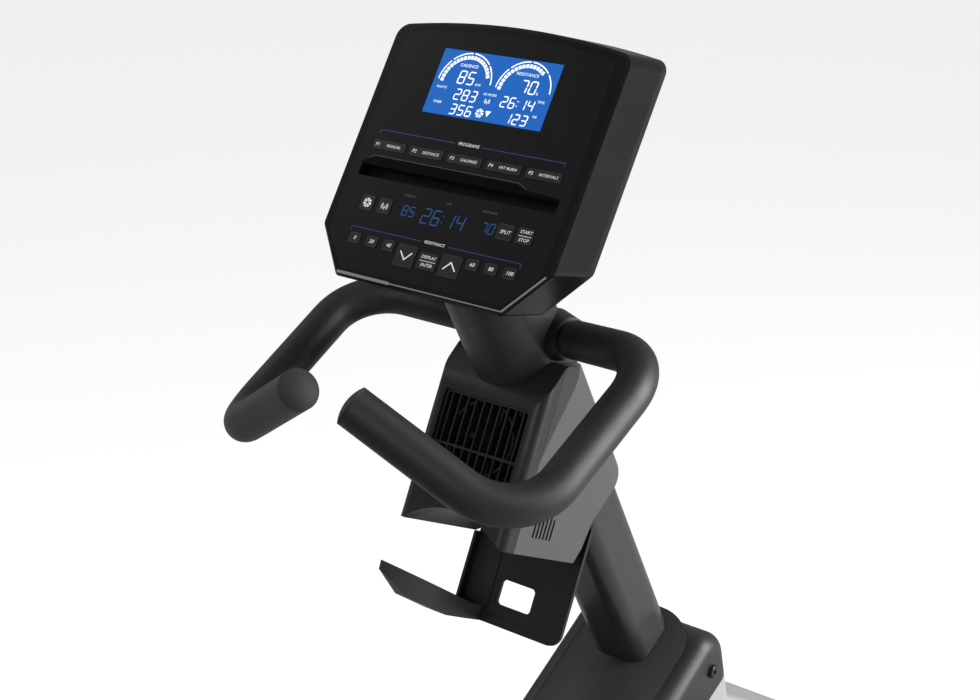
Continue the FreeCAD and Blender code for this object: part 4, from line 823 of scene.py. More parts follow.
# %% [markdown]
# ## Geometry Nodes: repeat a piece along a path
# Gauge blocks, stitches, weld ripples, screws and scale marks all repeat one small
# shape along a line. One node tree does this: it walks the path at an even spacing,
# stands a copy at each step with its top towards a stored direction, and then makes the
# copies real so that nothing depends on instances later.

# %% The repeat tree
def build_repeat_tree():
    tree = bpy.data.node_groups.new("repeat_along_path", "GeometryNodeTree")
    sockets = {}
    for label, kind in (
        ("Path", "NodeSocketGeometry"), ("Spacing", "NodeSocketFloat"),
        ("Piece", "NodeSocketObject"), ("Finish", "NodeSocketMaterial"),
    ):
        sockets[label] = tree.interface.new_socket(label, in_out="INPUT", socket_type=kind)
    tree.interface.new_socket("Result", in_out="OUTPUT", socket_type="NodeSocketGeometry")
    new, link = tree.nodes.new, tree.links.new
    given, result = new("NodeGroupInput"), new("NodeGroupOutput")
    to_curve, even = new("GeometryNodeMeshToCurve"), new("GeometryNodeResampleCurve")
    even.mode = "LENGTH"
    link(given.outputs["Path"], to_curve.inputs[0])
    link(to_curve.outputs[0], even.inputs["Curve"])
    link(given.outputs["Spacing"], even.inputs["Length"])
    up = new("GeometryNodeInputNamedAttribute")
    up.data_type = "FLOAT_VECTOR"
    up.inputs["Name"].default_value = "up"
    stand = new("FunctionNodeAlignRotationToVector")
    stand.axis = "Z"
    link(up.outputs["Attribute"], stand.inputs["Vector"])
    face = new("FunctionNodeAlignRotationToVector")
    face.axis = "X"
    face.pivot_axis = "Z"
    link(stand.outputs[0], face.inputs["Rotation"])
    link(new("GeometryNodeInputTangent").outputs[0], face.inputs["Vector"])
    copies, source = new("GeometryNodeInstanceOnPoints"), new("GeometryNodeObjectInfo")
    link(given.outputs["Piece"], source.inputs["Object"])
    link(even.outputs[0], copies.inputs["Points"])
    link(source.outputs["Geometry"], copies.inputs["Instance"])
    link(face.outputs[0], copies.inputs["Rotation"])
    real, paint = new("GeometryNodeRealizeInstances"), new("GeometryNodeSetMaterial")
    link(copies.outputs[0], real.inputs[0])
    link(real.outputs[0], paint.inputs["Geometry"])
    link(given.outputs["Finish"], paint.inputs["Material"])
    link(paint.outputs[0], result.inputs[0])
    return tree, {label: socket.identifier for label, socket in sockets.items()}


REPEAT, SOCKET = build_repeat_tree()


def repeat(paths, piece, spacing, material):
    """Mesh of a piece repeated along paths of (points, ups, closed)."""
    line = bpy.data.meshes.new("path")
    verts, edges, ups = [], [], []
    for points, tops, closed in paths:
        first = len(verts)
        verts += [tuple(point) for point in points]
        ups += [tuple(top) for top in tops]
        edges += [(first + index, first + index + 1) for index in range(len(points) - 1)]
        if closed:
            edges.append((len(verts) - 1, first))
    line.from_pydata(verts, edges, [])
    store = line.attributes.new("up", "FLOAT_VECTOR", "POINT")
    store.data.foreach_set("vector", [value for top in ups for value in top])
    holder = add_object("path", line)
    modifier = holder.modifiers.new("repeat", "NODES")
    modifier.node_group = REPEAT
    modifier[SOCKET["Spacing"]] = spacing
    modifier[SOCKET["Piece"]] = piece
    modifier[SOCKET["Finish"]] = material
    mesh = evaluated_mesh(holder)
    bpy.data.objects.remove(holder)
    return mesh


def settle(mesh, name, material, body):
    """Keep a repeated mesh as a finished piece."""
    mesh.name = name
    repaint(mesh, material)
    piece = add_object(name, mesh)
    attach(piece, body)
    print(name, "has", len(mesh.polygons), "faces")


def pattern_piece(name, bm):
    """A small shape for the repeat tree to copy; it is removed after use."""
    mesh = as_mesh(bm, name)
    piece = add_object(name, mesh)
    return piece


def bead_block(length, width, height):
    """A small block with softened edges, lying along X with its top towards Z."""
    bm = bmesh.new()
    bmesh.ops.create_cube(bm, size=1.0)
    bmesh.ops.scale(bm, vec=(length, width, height), verts=bm.verts)
    softened = min(length, width, height) * 0.22
    bmesh.ops.bevel(bm, geom=list(bm.edges), offset=softened, segments=1, affect="EDGES")
    return bm


# %% [markdown]
# ## What the display shows
# Two round gauges with a ring of small blocks, three numbers on the left, three on the
# right, and a few icons. The blocks come from the repeat tree; the thin outer rings are
# drawn as short strokes so that they can have gaps.

# %% Gauges
def arc_points(centre_x, centre_u, radius, first, last, count, level):
    angles = [math.radians(first + (last - first) * step / (count - 1)) for step in range(count)]
    return [on_face(*polar(centre_x, centre_u, radius, angle), level) for angle in angles]


def ring_strokes(bm, centre_x, centre_u, radius, first, last, width, level, count, overlap):
    """An arc of short strokes, each reaching a little past the next one's start."""
    for step in range(count):
        turns = [first + (last - first) * (step + part) / count for part in (0.0, overlap)]
        ends = [polar(centre_x, centre_u, radius, math.radians(turn)) for turn in turns]
        stroke(bm, ends[1], ends[0], width, level)


GAUGES = [(-30.6, 0.8, 178, 22), (31.4, 0.8, 178, 54)]
block = pattern_piece("gauge_block", bead_block(2.9 * MM, 3.4 * MM, 0.06 * MM))
paths = []
for centre_x, centre_u, first, last in GAUGES:
    points = arc_points(centre_x, centre_u, 24.0, first, last, 60, SCREEN_TOP + 0.04)
    paths.append((points, [FACE_OUT] * len(points), False))
settle(repeat(paths, block, 3.55 * MM, segment_white), "gauge_blocks", segment_white, "frame")
bpy.data.objects.remove(block)

# %% [markdown]
# The icons are generic: a seven-bladed fan, a pair of radio arcs and a small wedge.

# %% Icons
def fan_icon(bm, x, u, radius, level):
    for blade in range(7):
        base = math.radians(90 + blade * 360 / 7)
        outline = [(0.18, -0.35), (1.0, -0.22), (0.92, 0.42), (0.3, 0.12)]
        points = []
        for reach, turn in outline:
            angle = base + turn
            points.append(polar(x, u, radius * reach, angle))
        prism(bm, points, level)


def radio_icon(bm, x, u, size, level):
    stroke(bm, (x, u - size * 0.9), (x, u), size * 0.22, level)
    for radius in (0.55, 0.95):
        for first in (-50, 130):
            ring_strokes(
                bm, x, u, size * radius, first, first + 100, size * 0.17, level, 8, 1.05
            )


def wedge_icon(bm, x, u, size, level):
    top = u + size * 0.8
    prism(bm, [(x - size, top), (x - size * 0.1, u - size), (x + size, top)], level)


# %% Display segments
SCREEN_SLANT = 0.1
bm = bmesh.new()
for centre_x, centre_u, first, last in GAUGES:
    for ring_first, ring_last in ((178, 138), (134, 92), (88, 46), (42, 4)):
        ring_strokes(
            bm, centre_x, centre_u, 27.9, ring_first, ring_last, 1.2, SCREEN_TOP, 24, 1.03
        )
for text, x, u, width, height, pitch, thick in (
    ("85", -38.6, 6.0, 7.6, 12.6, 9.8, 1.25), ("283", -36.2, -9.9, 6.6, 10.6, 8.6, 1.1),
    ("356", -35.2, -23.6, 6.6, 10.0, 8.4, 1.1), ("70", 27.4, 6.0, 7.6, 12.4, 9.6, 1.25),
    ("26:14", 14.0, -9.9, 6.4, 10.4, 8.2, 1.1), ("123", 23.6, -23.7, 6.4, 10.0, 8.3, 1.1),
):
    digits(bm, text, x, u, width, height, pitch, SCREEN_TOP, thick, SCREEN_SLANT)
for words, x, u, height in (
    ("CADENCE", -31.2, 16.9, 2.9), ("RESISTANCE", 31.2, 16.9, 2.9),
    ("RPM", -15.4, 1.0, 2.2), ("%", 47.0, 1.3, 2.4),
    ("WATTS", -52.0, -5.5, 2.3), ("TIMER", -50.8, -19.3, 2.3), ("HR MODE", 0.8, -5.9, 2.2),
    ("TIME", 54.0, -5.4, 2.3), ("HR", 53.0, -18.8, 2.3),
):
    lettering(bm, words, x, u, height, SCREEN_TOP, SCREEN_SLANT)
radio_icon(bm, 0.4, -12.0, 2.9, SCREEN_TOP)
fan_icon(bm, -3.0, -23.4, 4.4, SCREEN_TOP)
wedge_icon(bm, 5.6, -22.8, 3.0, SCREEN_TOP)
keep(bm, "display_segments", segment_white, "frame")

# %% [markdown]
# Below the tablet slot a second, dimmer display glows through the dark panel.

# %% Lower display
bm = bmesh.new()
digits(bm, "85", -44.8, -120.4, 6.0, 9.6, 7.6, PANEL_TOP, 0.95, 0.12)
digits(bm, "26:14", -22.8, -121.2, 8.4, 14.2, 10.9, PANEL_TOP, 1.2, 0.12)
digits(bm, "70", 40.4, -120.4, 6.0, 9.6, 7.6, PANEL_TOP, 0.95, 0.12)
keep(bm, "lower_display", led_blue, "frame")

# %% [markdown]
# The fixed print: captions in white and grey, and blue brackets that gather the
# program keys and the resistance keys. With it go a painted shade on the tablet slot's
# lip and painted highlights along the slot's upper edge and the bezel's lower bevel.

# %% Panel print
bm = bmesh.new()
lettering(bm, "PROGRAMS", -1.5, -53.2, 3.0, PANEL_TOP)
lettering(bm, "RESISTANCE", 1.0, -143.2, 2.7, PANEL_TOP)
keep(bm, "panel_words", print_white_painted_glow, "frame")

bm = bmesh.new()
for words, x in (("CADENCE", -42.3), ("TIME", 0.6), ("RESISTANCE", 44.3)):
    lettering(bm, words, x, -106.9, 1.9, PANEL_TOP)
# the three grey strokes along the slot's upper edge are no print: they stand for the highlight on
# its bevel, a painted highlight
stroke(bm, (-99.6, -80.4), (-95.2, -77.2), 0.35, PANEL_TOP)
stroke(bm, (-95.2, -77.2), (61.5, -77.2), 0.35, PANEL_TOP)
stroke(bm, (61.5, -77.2), (70.5, -81.2), 0.35, PANEL_TOP)
keep(bm, "panel_captions", print_grey_painted_glow, "frame")


def bracket(bm, u, left, right, gap_left, gap_right, drop):
    """Two lines with a tick at their outer ends."""
    stroke(bm, (left, u), (gap_left, u), 0.7, PANEL_TOP)
    stroke(bm, (gap_right, u), (right, u), 0.7, PANEL_TOP)
    stroke(bm, (left + 0.35, u), (left + 0.35, u - drop), 0.7, PANEL_TOP)
    stroke(bm, (right - 0.35, u), (right - 0.35, u - drop), 0.7, PANEL_TOP)


# a very dark glossy sheet on the flat panel stands for the curved lip above the tablet slot, which
# shows dark: painted shade
bm = bmesh.new()
lip = [(-106, -86.2), (106, -86.2), (106, -84), (70.5, -82), (61.5, -78), (-95.2, -78), (-106, -84)]
prism(bm, lip, PANEL_TOP)
keep(bm, "slot_lip", slot_painted_shade_black, "frame")

# a light grey strip along the bezel's lower bevel, wide where the bevel shines most and thin
# between, stands for its reflection: painted highlight
bm = bmesh.new()
stroke(bm, (-89, -185.6), (-30, -185.6), 2.6, PANEL_TOP)
stroke(bm, (-30, -185.6), (89, -185.6), 1.1, PANEL_TOP)
stroke(bm, (89, -185.6), (119, -149.5), 1.9, PANEL_TOP)
keep(bm, "bezel_trim", bezel_highlight_grey, "frame")

bm = bmesh.new()
bracket(bm, -53.3, -98.9, 99.0, -16.3, 12.6, 3.6)
bracket(bm, -143.4, -91.2, 92.2, -13.6, 16.0, 4.0)
keep(bm, "panel_brackets", print_blue_painted_glow, "frame")

# %% [markdown]
# ## Legends on the keys
# Each key moves on its own, so its legend is a piece of its own that rides with it. A
# thin rounded outline is drawn just inside each cap.

# %% Key caps
def key_box(name):
    """Middle and half sizes of a key on the console's face, in millimetres."""
    spread_x, spread_u = [], []
    for vertex in nodes[name].data.vertices:
        offset = vertex.co - FACE_ORIGIN
        if offset.dot(FACE_OUT) > 0.3 * MM:
            spread_x.append(offset.x / MM)
            spread_u.append(offset.dot(FACE_UP) / MM)
    middle = ((min(spread_x) + max(spread_x)) / 2, (min(spread_u) + max(spread_u)) / 2)
    half = ((max(spread_x) - min(spread_x)) / 2, (max(spread_u) - min(spread_u)) / 2)
    return middle, half


def outline(bm, middle, half, inset, width):
    """A rounded frame of strokes inside a cap."""
    x, u = middle
    a, b, radius = half[0] - inset, half[1] - inset, 1.4
    points = []
    for corner_a, corner_b, first in ((a, b, 0), (-a, b, 90), (-a, -b, 180), (a, -b, 270)):
        centre_a = corner_a - math.copysign(radius, corner_a)
        centre_b = corner_b - math.copysign(radius, corner_b)
        for step in range(5):
            angle = math.radians(first + 22.5 * step)
            points.append(polar(x + centre_a, u + centre_b, radius, angle))
    for index, point in enumerate(points):
        stroke(bm, point, points[(index + 1) % len(points)], width, KEY_TOP)


PROGRAM_WORDS = {1: "MANUAL", 2: "DISTANCE", 3: "CALORIES", 4: "FAT BURN", 5: "INTERVALS"}


def legend(name):
    """White marks of one key."""
    (x, u), half = key_box(name)
    bm = bmesh.new()
    kind = name[4:]
    if kind.startswith("program"):
        number = int(kind[-1])
        lettering(bm, "P%d" % number, x - half[0] + 4.6, u, 3.3, KEY_TOP)
        lettering(bm, PROGRAM_WORDS[number], x + 4.6, u - 0.1, 2.7, KEY_TOP)
    elif kind in ("level_down", "level_up"):
        tip = -3.6 if kind == "level_down" else 3.6
        stroke(bm, (x - 6.4, u - tip), (x + 0.2, u + tip), 1.15, KEY_TOP)
        stroke(bm, (x - 0.2, u + tip), (x + 6.4, u - tip), 1.15, KEY_TOP)
    elif kind.startswith("level"):
        lettering(bm, kind.split("_")[1], x, u, 3.5, KEY_TOP)
    elif kind == "fan":
        fan_icon(bm, x, u, 4.6, KEY_TOP)
    elif kind == "wireless":
        radio_icon(bm, x, u, 3.6, KEY_TOP)
    elif kind == "split":
        lettering(bm, "SPLIT", x, u, 3.2, KEY_TOP)
    else:
        top, bottom = ("DISPLAY", "ENTER") if kind == "display_enter" else ("START", "STOP")
        lettering(bm, top, x, u + 3.5, 2.9, KEY_TOP)
        stroke(bm, (x - half[0] + 1.6, u), (x + half[0] - 1.6, u), 0.4, KEY_TOP)
        lettering(bm, bottom, x, u - 3.5, 2.9, KEY_TOP)
    keep(bm, "legend_" + kind, print_white_painted_glow, name)


for name in key_names:
    legend(name)
    middle, half = key_box(name)
    bm = bmesh.new()
    outline(bm, middle, half, 0.5, 0.4)
    coat = blue_key_outline_painted_glow if name in ("key_level_down", "key_level_up") else key_outline_painted_glow
    keep(bm, "edge_" + name[4:], coat, name)
print("printed", len(key_names), "keys")

# %% [markdown]
# ## Cushions
# A cushion is foam in a cover that is cut slightly too small, so its faces crown and its
# sides pull in between the corners. The surest way to get that shape is to let cloth do
# it: take the plain solid, shrink it a little, rebuild it with even cells, blow it up
# with a little pressure for twenty frames and stop each point after a short travel.
# Seams are pressed in afterwards, because an even rebuild would erase them.

# %% Inflate
def welded_copy(node, name, shrink):
    """A joined copy of a solid's mesh, drawn towards its middle."""
    bm = bmesh.new()
    bm.from_mesh(nodes[node].data)
    bmesh.ops.remove_doubles(bm, verts=bm.verts, dist=0.00002)
    low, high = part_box(node)
    middle = (low + high) / 2
    for vertex in bm.verts:
        offset = vertex.co - middle
        length = offset.length
        if length > 0:
            vertex.co = middle + offset * (1 - shrink / length)
    mesh = as_mesh(bm, name)
    piece = add_object(name, mesh)
    return piece


def apply_modifiers(piece):
    """Replace a piece's mesh by what its modifiers give."""
    made = evaluated_mesh(piece)
    piece.modifiers.clear()
    piece.data = made


CLOTH_FRAMES = 20
CLOTH_CELL = 0.005
CLOTH_PRESSURE = 4.0


def inflate(piece, travel):
    """Blow a piece up as cloth, and stop each point after a short travel."""
    remesh = piece.modifiers.new("even_cells", "REMESH")
    remesh.mode = "VOXEL"
    remesh.voxel_size = CLOTH_CELL
    apply_modifiers(piece)
    start = [vertex.co.copy() for vertex in piece.data.vertices]
    cloth = piece.modifiers.new("cover", "CLOTH")
    cloth.settings.use_pressure = True
    cloth.settings.uniform_pressure_force = CLOTH_PRESSURE
    cloth.settings.effector_weights.gravity = 0.0
    cloth.settings.quality = 5
    cloth.point_cache.frame_end = CLOTH_FRAMES
    scene = bpy.context.scene
    for number in range(1, CLOTH_FRAMES + 1):
        scene.frame_set(number)
    apply_modifiers(piece)
    scene.frame_set(1)
    for vertex, rest in zip(piece.data.vertices, start):
        move = vertex.co - rest
        if move.length > travel:
            vertex.co = rest + move.normalized() * travel


# %% [markdown]
# A seam is a narrow valley. The distance from each point to the seam's outline gives
# the depth, so the same function presses a border seam into either cushion. The seam
# line itself is a rounded rectangle, measured in the cushion's own plane.

# %% Seams
class CushionPlane:
    """The plane a cushion lies in: across, along and out of its face."""

    def __init__(self, origin, along, out):
        self.origin = origin
        self.across = Vector((1, 0, 0))
        self.along = along
        self.out = out

    def local(self, point):
        offset = point - self.origin
        return offset.dot(self.across), offset.dot(self.along), offset.dot(self.out)

    def world(self, a, b, n):
        return self.origin + self.across * a + self.along * b + self.out * n


def rounded_distance(a, b, half_a, half_b, radius):
    """Distance from a point to a rounded rectangle's line."""
    over_a = max(abs(a) - (half_a - radius), 0.0)
    over_b = max(abs(b) - (half_b - radius), 0.0)
    inside = max(abs(a) - (half_a - radius), abs(b) - (half_b - radius))
    if over_a > 0 and over_b > 0:
        return abs(math.hypot(over_a, over_b) - radius)
    return abs(inside - radius)


def press_seams(piece, plane, border, lines, depth, width):
    """Press a rounded border and straight cross lines into the face."""
    for vertex in piece.data.vertices:
        a, b, n = plane.local(vertex.co)
        facing = plane.out.dot(vertex.normal)
        if facing < 0.35:
            continue
        gap = rounded_distance(a, b, *border)
        for line_b, reach in lines:
            if abs(a) < reach:
                gap = min(gap, abs(b - line_b))
        if gap < width * 3:
            vertex.co -= plane.out * depth * math.exp(-((gap / width) ** 2))


def smooth_piece(piece):
    """Divide a piece once and shade it smoothly."""
    modifier = piece.modifiers.new("soften", "SUBSURF")
    modifier.levels = 1
    modifier.render_levels = 1
    apply_modifiers(piece)
    for polygon in piece.data.polygons:
        polygon.use_smooth = True


# %% [markdown]
# Stitches and piping are laid on the finished cushion: a ray finds the surface under
# each point of the seam line.

# %% Thread and piping
def rounded_line(half_a, half_b, radius, step):
    """Points of a rounded rectangle, evenly spaced."""
    points = []
    a, b = half_a - radius, half_b - radius
    for centre_a, centre_b, first in ((a, b, 0), (-a, b, 90), (-a, -b, 180), (a, -b, 270)):
        turns = max(4, int(radius * math.pi / 2 / step))
        for part in range(turns + 1):
            angle = math.radians(first + 90 * part / turns)
            points.append(polar(centre_a, centre_b, radius, angle))
    dense = []
    for index, point in enumerate(points):
        after = points[(index + 1) % len(points)]
        length = math.dist(point, after)
        parts = max(1, int(length / step))
        for part in range(parts):
            share = part / parts
            dense.append(tuple(p + (q - p) * share for p, q in zip(point, after)))
    return dense


def on_surface(tree, plane, a, b, lift):
    """The cushion's face under a point of its plane."""
    start = plane.world(a, b, 0.3)
    hit, normal, _, _ = tree.ray_cast(start, -plane.out)
    if hit is None:
        return None
    return hit + normal * lift, normal


def surface_tree(piece):
    return BVHTree.FromObject(piece, bpy.context.evaluated_depsgraph_get())


def stitch(piece, plane, line, name, body, lift=0.0004):
    """A row of thread stitches along a line of (a, b) points."""
    tree = surface_tree(piece)
    found = [spot for spot in (on_surface(tree, plane, a, b, lift) for a, b in line) if spot]
    thread = pattern_piece("thread", bead_block(3.4 * MM, 0.9 * MM, 0.8 * MM))
    path = ([point for point, _ in found], [normal for _, normal in found], True)
    settle(repeat([path], thread, 4.6 * MM, thread_grey), name, thread_grey, body)
    bpy.data.objects.remove(thread)


def tube(points, radius, sides=8):
    """A round tube round a closed line of points, as a bmesh."""
    bm = bmesh.new()
    count = len(points)
    rings = []
    for index, point in enumerate(points):
        along = (points[(index + 1) % count] - points[index - 1]).normalized()
        side = along.cross(Vector((0.3, 0.2, 0.93))).normalized()
        rise = side.cross(along)
        ring = []
        for turn in range(sides):
            angle = 2 * math.pi * turn / sides
            way = side * math.cos(angle) + rise * math.sin(angle)
            ring.append(bm.verts.new(point + way * radius))
        rings.append(ring)
    for index in range(count):
        ring, after = rings[index], rings[(index + 1) % count]
        for turn in range(sides):
            beyond = (turn + 1) % sides
            bm.faces.new((ring[turn], ring[beyond], after[beyond], after[turn]))
    bmesh.ops.recalc_face_normals(bm, faces=bm.faces)
    for face in bm.faces:
        face.smooth = True
    return bm


def side_line(piece, plane, half_a, half_b, radius, level, step):
    """Where a level line meets the cushion's sides, found from outside."""
    tree = surface_tree(piece)
    points = []
    for a, b in rounded_line(half_a, half_b, radius, step):
        start = plane.world(a * 1.35, b * 1.35, level)
        aim = plane.world(0, 0, level) - start
        hit, normal, _, _ = tree.ray_cast(start, aim.normalized())
        if hit is not None:
            points.append(hit)
    return points


# %% [markdown]
# The seat pad is broad and lies flat; the back pad leans back. Both get a border seam,
# two rows of stitches and a corded edge. The seat has one cross seam, the back has two.

# %% Make both cushions
SHRINK, TRAVEL = 0.007, 0.009
SEAM_DEPTH, SEAM_WIDTH, SEAM_CORNER = 0.0045, 0.0042, 0.055
STITCH_OFFSET, STITCH_STEP = 0.0062, 0.006
CORD_RADIUS, CORD_CORNER, CORD_STEP = 0.0026, 0.06, 0.008


def make_cushion(node, name, plane, half, seam_inset, lines, cord_level, body="seat"):
    """A stuffed cushion with its seams, stitches and corded edge."""
    piece = welded_copy(node, name, SHRINK)
    inflate(piece, TRAVEL)
    border = (half[0] - seam_inset, half[1] - seam_inset, SEAM_CORNER)
    press_seams(piece, plane, border, lines, SEAM_DEPTH, SEAM_WIDTH)
    smooth_piece(piece)
    repaint(piece.data, cover_cloth)
    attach(piece, body)
    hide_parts(node)
    for side, offset in (("inner", -STITCH_OFFSET), ("outer", STITCH_OFFSET)):
        line = rounded_line(border[0] + offset, border[1] + offset, border[2] + offset, STITCH_STEP)
        stitch(piece, plane, line, "%s_stitches_%s" % (name, side), body)
    cord_points = side_line(piece, plane, half[0], half[1], CORD_CORNER, cord_level, CORD_STEP)
    keep(tube(cord_points, CORD_RADIUS), name + "_piping", webbing, body)
    print(name, "has", len(piece.data.polygons), "faces")


seat_low, seat_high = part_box("seat_cushion")
seat_plane = CushionPlane((seat_low + seat_high) / 2, Vector((0, 1, 0)), Vector((0, 0, 1)))
seat_half = ((seat_high.x - seat_low.x) / 2, (seat_high.y - seat_low.y) / 2)
make_cushion("seat_cushion", "seat_pad", seat_plane, seat_half, 0.055, [(-0.03, 0.14)], 0.014)

BACK_LEAN = math.radians(18.0)
back_up = Vector((0, -math.sin(BACK_LEAN), math.cos(BACK_LEAN)))
back_out = Vector((0, math.cos(BACK_LEAN), math.sin(BACK_LEAN)))
back_low, back_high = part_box("back_cushion")
back_plane = CushionPlane((back_low + back_high) / 2, back_up, back_out)
make_cushion(
    "back_cushion", "back_pad", back_plane, (0.205, 0.22), 0.058,
    [(-0.07, 0.13), (0.07, 0.13)], 0.012,
)

# %% [markdown]
# ## Welds
# Where the square rear post stands on the beam, a weld runs round its foot: a row of
# overlapping ripples, like coins pushed over. Another job for the repeat tree.

# %% Weld beads
def weld_ripple(radius):
    bm = bmesh.new()
    bmesh.ops.create_uvsphere(bm, u_segments=8, v_segments=5, radius=radius)
    bmesh.ops.scale(bm, vec=(0.55, 1.0, 0.7), verts=bm.verts)
    for face in bm.faces:
        face.smooth = True
    return bm


def square_path(low, high, level):
    corners = [(low[0], low[1]), (high[0], low[1]), (high[0], high[1]), (low[0], high[1])]
    middle = Vector(((low[0] + high[0]) / 2, (low[1] + high[1]) / 2, 0))
    points = [Vector((x, y, level)) for x, y in corners]
    dense, ups = [], []
    for index, point in enumerate(points):
        after = points[(index + 1) % 4]
        for part in range(12):
            spot = point.lerp(after, part / 12)
            dense.append(spot)
            out = Vector((spot.x - middle.x, spot.y - middle.y, 0))
            ups.append((out.normalized() + Vector((0, 0, 1))).normalized())
    return dense, ups, True


BEAM_TOP, BEAD_LIFT = 0.125, 0.001
POST_LOW, POST_HIGH = (-0.025, -0.684), (0.025, -0.634)
BEAD_RADIUS, BEAD_PITCH = 3.4 * MM, 1.9 * MM
ripple = pattern_piece("ripple", weld_ripple(BEAD_RADIUS))
welds = [square_path(POST_LOW, POST_HIGH, BEAM_TOP + BEAD_LIFT)]
settle(repeat(welds, ripple, BEAD_PITCH, frame_paint), "post_welds", frame_paint, "frame")
bpy.data.objects.remove(ripple)

# %% [markdown]
# ## Small fixings
# Four small dome screws hold the console's back. A screw is a low dome with a cross
# cut; the repeat tree stands one at each end of two paths whose spacing equals their
# length.

# %% Dome screws
def dome_screw(radius, height):
    """A low dome with a cross-shaped recess."""
    bm = bmesh.new()
    rings, sides = 3, 16
    previous = None
    for ring in range(rings + 1):
        angle = math.pi / 2 * ring / rings
        reach, level = radius * math.cos(angle), height * math.sin(angle)
        if ring == rings:
            reach = radius * 0.3
        turns = [2 * math.pi * s / sides for s in range(sides)]
        current = [bm.verts.new((*polar(0.0, 0.0, reach, turn), level)) for turn in turns]
        if previous:
            for s in range(sides):
                after = (s + 1) % sides
                bm.faces.new((previous[s], previous[after], current[after], current[s]))
        else:
            bm.faces.new(current[::-1])
        previous = current
    floor = []
    for s in range(sides):
        arm = radius * (0.3 if s % 4 else 0.12)
        angle = 2 * math.pi * s / sides
        floor.append(bm.verts.new((arm * math.cos(angle), arm * math.sin(angle), height * 0.45)))
    for s in range(sides):
        bm.faces.new((previous[s], previous[(s + 1) % sides], floor[(s + 1) % sides], floor[s]))
    bm.faces.new(floor)
    return bm


def pair_path(first, second, up):
    return [first, second], [up, up], False


BACK_LEVEL = -62.0
SCREW_REACH, SCREW_ROWS = 92.0, (-138.0, 50.0)
dome = pattern_piece("dome", dome_screw(3.0 * MM, 1.6 * MM))
console_pairs = []
for u in SCREW_ROWS:
    left, right = on_face(-SCREW_REACH, u, BACK_LEVEL), on_face(SCREW_REACH, u, BACK_LEVEL)
    console_pairs.append(pair_path(left, right, -FACE_OUT))
screw_mesh = repeat(console_pairs, dome, 2 * SCREW_REACH * MM, black_screw)
settle(screw_mesh, "console_screws", black_screw, "frame")
bpy.data.objects.remove(dome)

# %% [markdown]
# ## Pedal straps
# Each pedal has a broad ribbed strap over the toes and an amber reflector at each end.
# The strap is a flat band bent into an arch; the band's ribs follow the arch, so both
# come from one list of points across it.

# %% Straps
def arch_line(inner_x, outer_x, base_z, top_z, count):
    """Arch from the pedal's inner side over to its outer side."""
    middle, half = (inner_x + outer_x) / 2, (outer_x - inner_x) / 2
    points = []
    for step in range(count):
        angle = math.pi * step / (count - 1)
        squash = math.copysign(abs(math.cos(angle)) ** 0.7, math.cos(angle))
        points.append((middle - half * squash, base_z + (top_z - base_z) * math.sin(angle) ** 0.8))
    return points


STRAP_EDGE, STRAP_FOOT, STRAP_RISE = 0.004, 0.008, 0.046
STRAP_HALF_WIDTH, STRAP_THICKNESS, RIB = 0.016, 0.0026, 0.0007
STRAP_ROWS, STRAP_COLUMNS = 33, 9


def strap_band(node, side):
    """A ribbed band arched over a pedal."""
    low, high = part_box(node)
    middle_y = (low.y + high.y) / 2
    inner, outer = (low.x, high.x) if side > 0 else (high.x, low.x)
    inner += STRAP_EDGE * side
    outer -= STRAP_EDGE * side
    line = arch_line(inner, outer, low.z + STRAP_FOOT, high.z + STRAP_RISE, STRAP_ROWS)
    bm = bmesh.new()
    grid = []
    for index, (x, z) in enumerate(line):
        before, after = line[max(index - 1, 0)], line[min(index + 1, len(line) - 1)]
        normal = Vector((-(after[1] - before[1]), 0, after[0] - before[0])).normalized() * side
        rib = RIB if index % 2 else 0.0
        row = []
        for column in range(STRAP_COLUMNS):
            y = middle_y - STRAP_HALF_WIDTH + 2 * STRAP_HALF_WIDTH * column / (STRAP_COLUMNS - 1)
            edge = 0.0 if column in (0, STRAP_COLUMNS - 1) else rib
            row.append((Vector((x, y, z)) + normal * (STRAP_THICKNESS + edge), Vector((x, y, z))))
        grid.append(row)
    tops = [[bm.verts.new(top) for top, _ in row] for row in grid]
    bases = [[bm.verts.new(base) for _, base in row] for row in grid]
    last_row, last_column = STRAP_ROWS - 1, STRAP_COLUMNS - 1
    for index in range(last_row):
        for column in range(last_column):
            bm.faces.new((
                tops[index][column], tops[index][column + 1],
                tops[index + 1][column + 1], tops[index + 1][column],
            ))
            bm.faces.new((
                bases[index][column], bases[index + 1][column],
                bases[index + 1][column + 1], bases[index][column + 1],
            ))
        for column in (0, last_column):
            bm.faces.new((
                tops[index][column], tops[index + 1][column],
                bases[index + 1][column], bases[index][column],
            ))
    for index in (0, last_row):
        for column in range(last_column):
            bm.faces.new((
                tops[index][column], tops[index][column + 1],
                bases[index][column + 1], bases[index][column],
            ))
    bmesh.ops.recalc_face_normals(bm, faces=bm.faces)
    keep(bm, node + "_strap", webbing, node)


AMBER_BAR, AMBER_INSET = (0.052, 0.0035, 0.0065), 0.0008


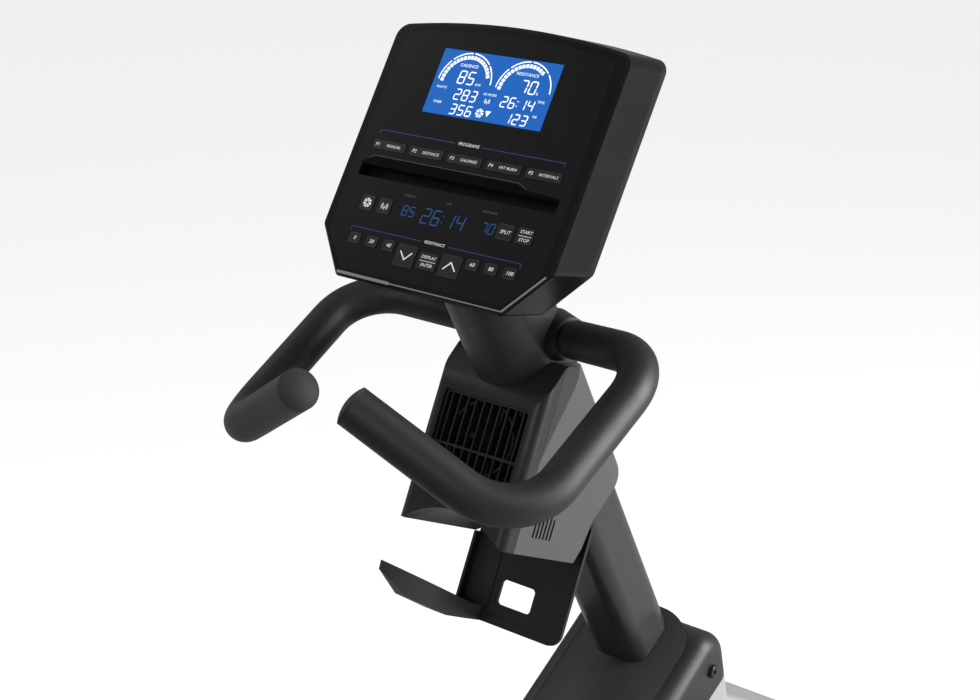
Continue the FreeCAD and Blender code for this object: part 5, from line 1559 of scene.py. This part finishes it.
def reflectors(node):
    """Amber bars set into the pedal's front and rear edges."""
    low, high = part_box(node)
    middle_x, middle_z = (low.x + high.x) / 2, (low.z + high.z) / 2
    bm = bmesh.new()
    for y, way in ((low.y, -1), (high.y, 1)):
        mesh = as_mesh(bead_block(*AMBER_BAR), "amber")
        mesh.transform(Matrix.Translation((middle_x, y - way * AMBER_INSET, middle_z)))
        bm.from_mesh(mesh)
        bpy.data.meshes.remove(mesh)
    keep(bm, node + "_reflectors", reflector_amber, node)


for node, side in (("right_pedal", 1), ("left_pedal", -1)):
    strap_band(node, side)
    reflectors(node)
print("straps fitted")

# %% [markdown]
# ## Seat position scale
# The rail carries a row of marks, so that a rider can find the same place again. The
# marks come from the repeat tree, and every second one gets a number.

# %% Rail scale
RAIL_SLOPE = math.radians(9.0)
MARK_RISE, NUMBER_DROP = 0.011, 0.012
rail_back = Vector((0, -math.cos(RAIL_SLOPE), math.sin(RAIL_SLOPE)))
rail_up = Vector((0, math.sin(RAIL_SLOPE), math.cos(RAIL_SLOPE)))
rail_start = Vector((0.03, 0.215, 0.300))
tick = pattern_piece("tick", bead_block(0.7 * MM, 7.0 * MM, 0.12 * MM))
first_mark, mark_pitch, mark_count = 0.10, 0.03, 11
mark_row = rail_start + rail_up * MARK_RISE
ends = [mark_row + rail_back * (first_mark + mark_pitch * step) for step in (0, mark_count - 1)]
tick_path = ([ends[0], ends[1]], [Vector((1, 0, 0))] * 2, False)
settle(repeat([tick_path], tick, mark_pitch * 0.999, print_grey_painted_glow), "rail_marks", print_grey_painted_glow, "frame")
bpy.data.objects.remove(tick)


NUMBER_HEIGHT, NUMBER_THICKNESS = 0.006, 0.0001
bm = bmesh.new()
for step in range(0, mark_count, 2):
    mesh = word_mesh(str(step // 2 + 1), NUMBER_HEIGHT, NUMBER_THICKNESS)
    place = rail_start + rail_back * (first_mark + mark_pitch * step) - rail_up * NUMBER_DROP
    turn = Matrix((-rail_back, rail_up, Vector((1, 0, 0)))).transposed().to_4x4()
    mesh.transform(Matrix.Translation(place) @ turn)
    bm.from_mesh(mesh)
    bpy.data.meshes.remove(mesh)
keep(bm, "rail_numbers", print_grey_painted_glow, "frame")
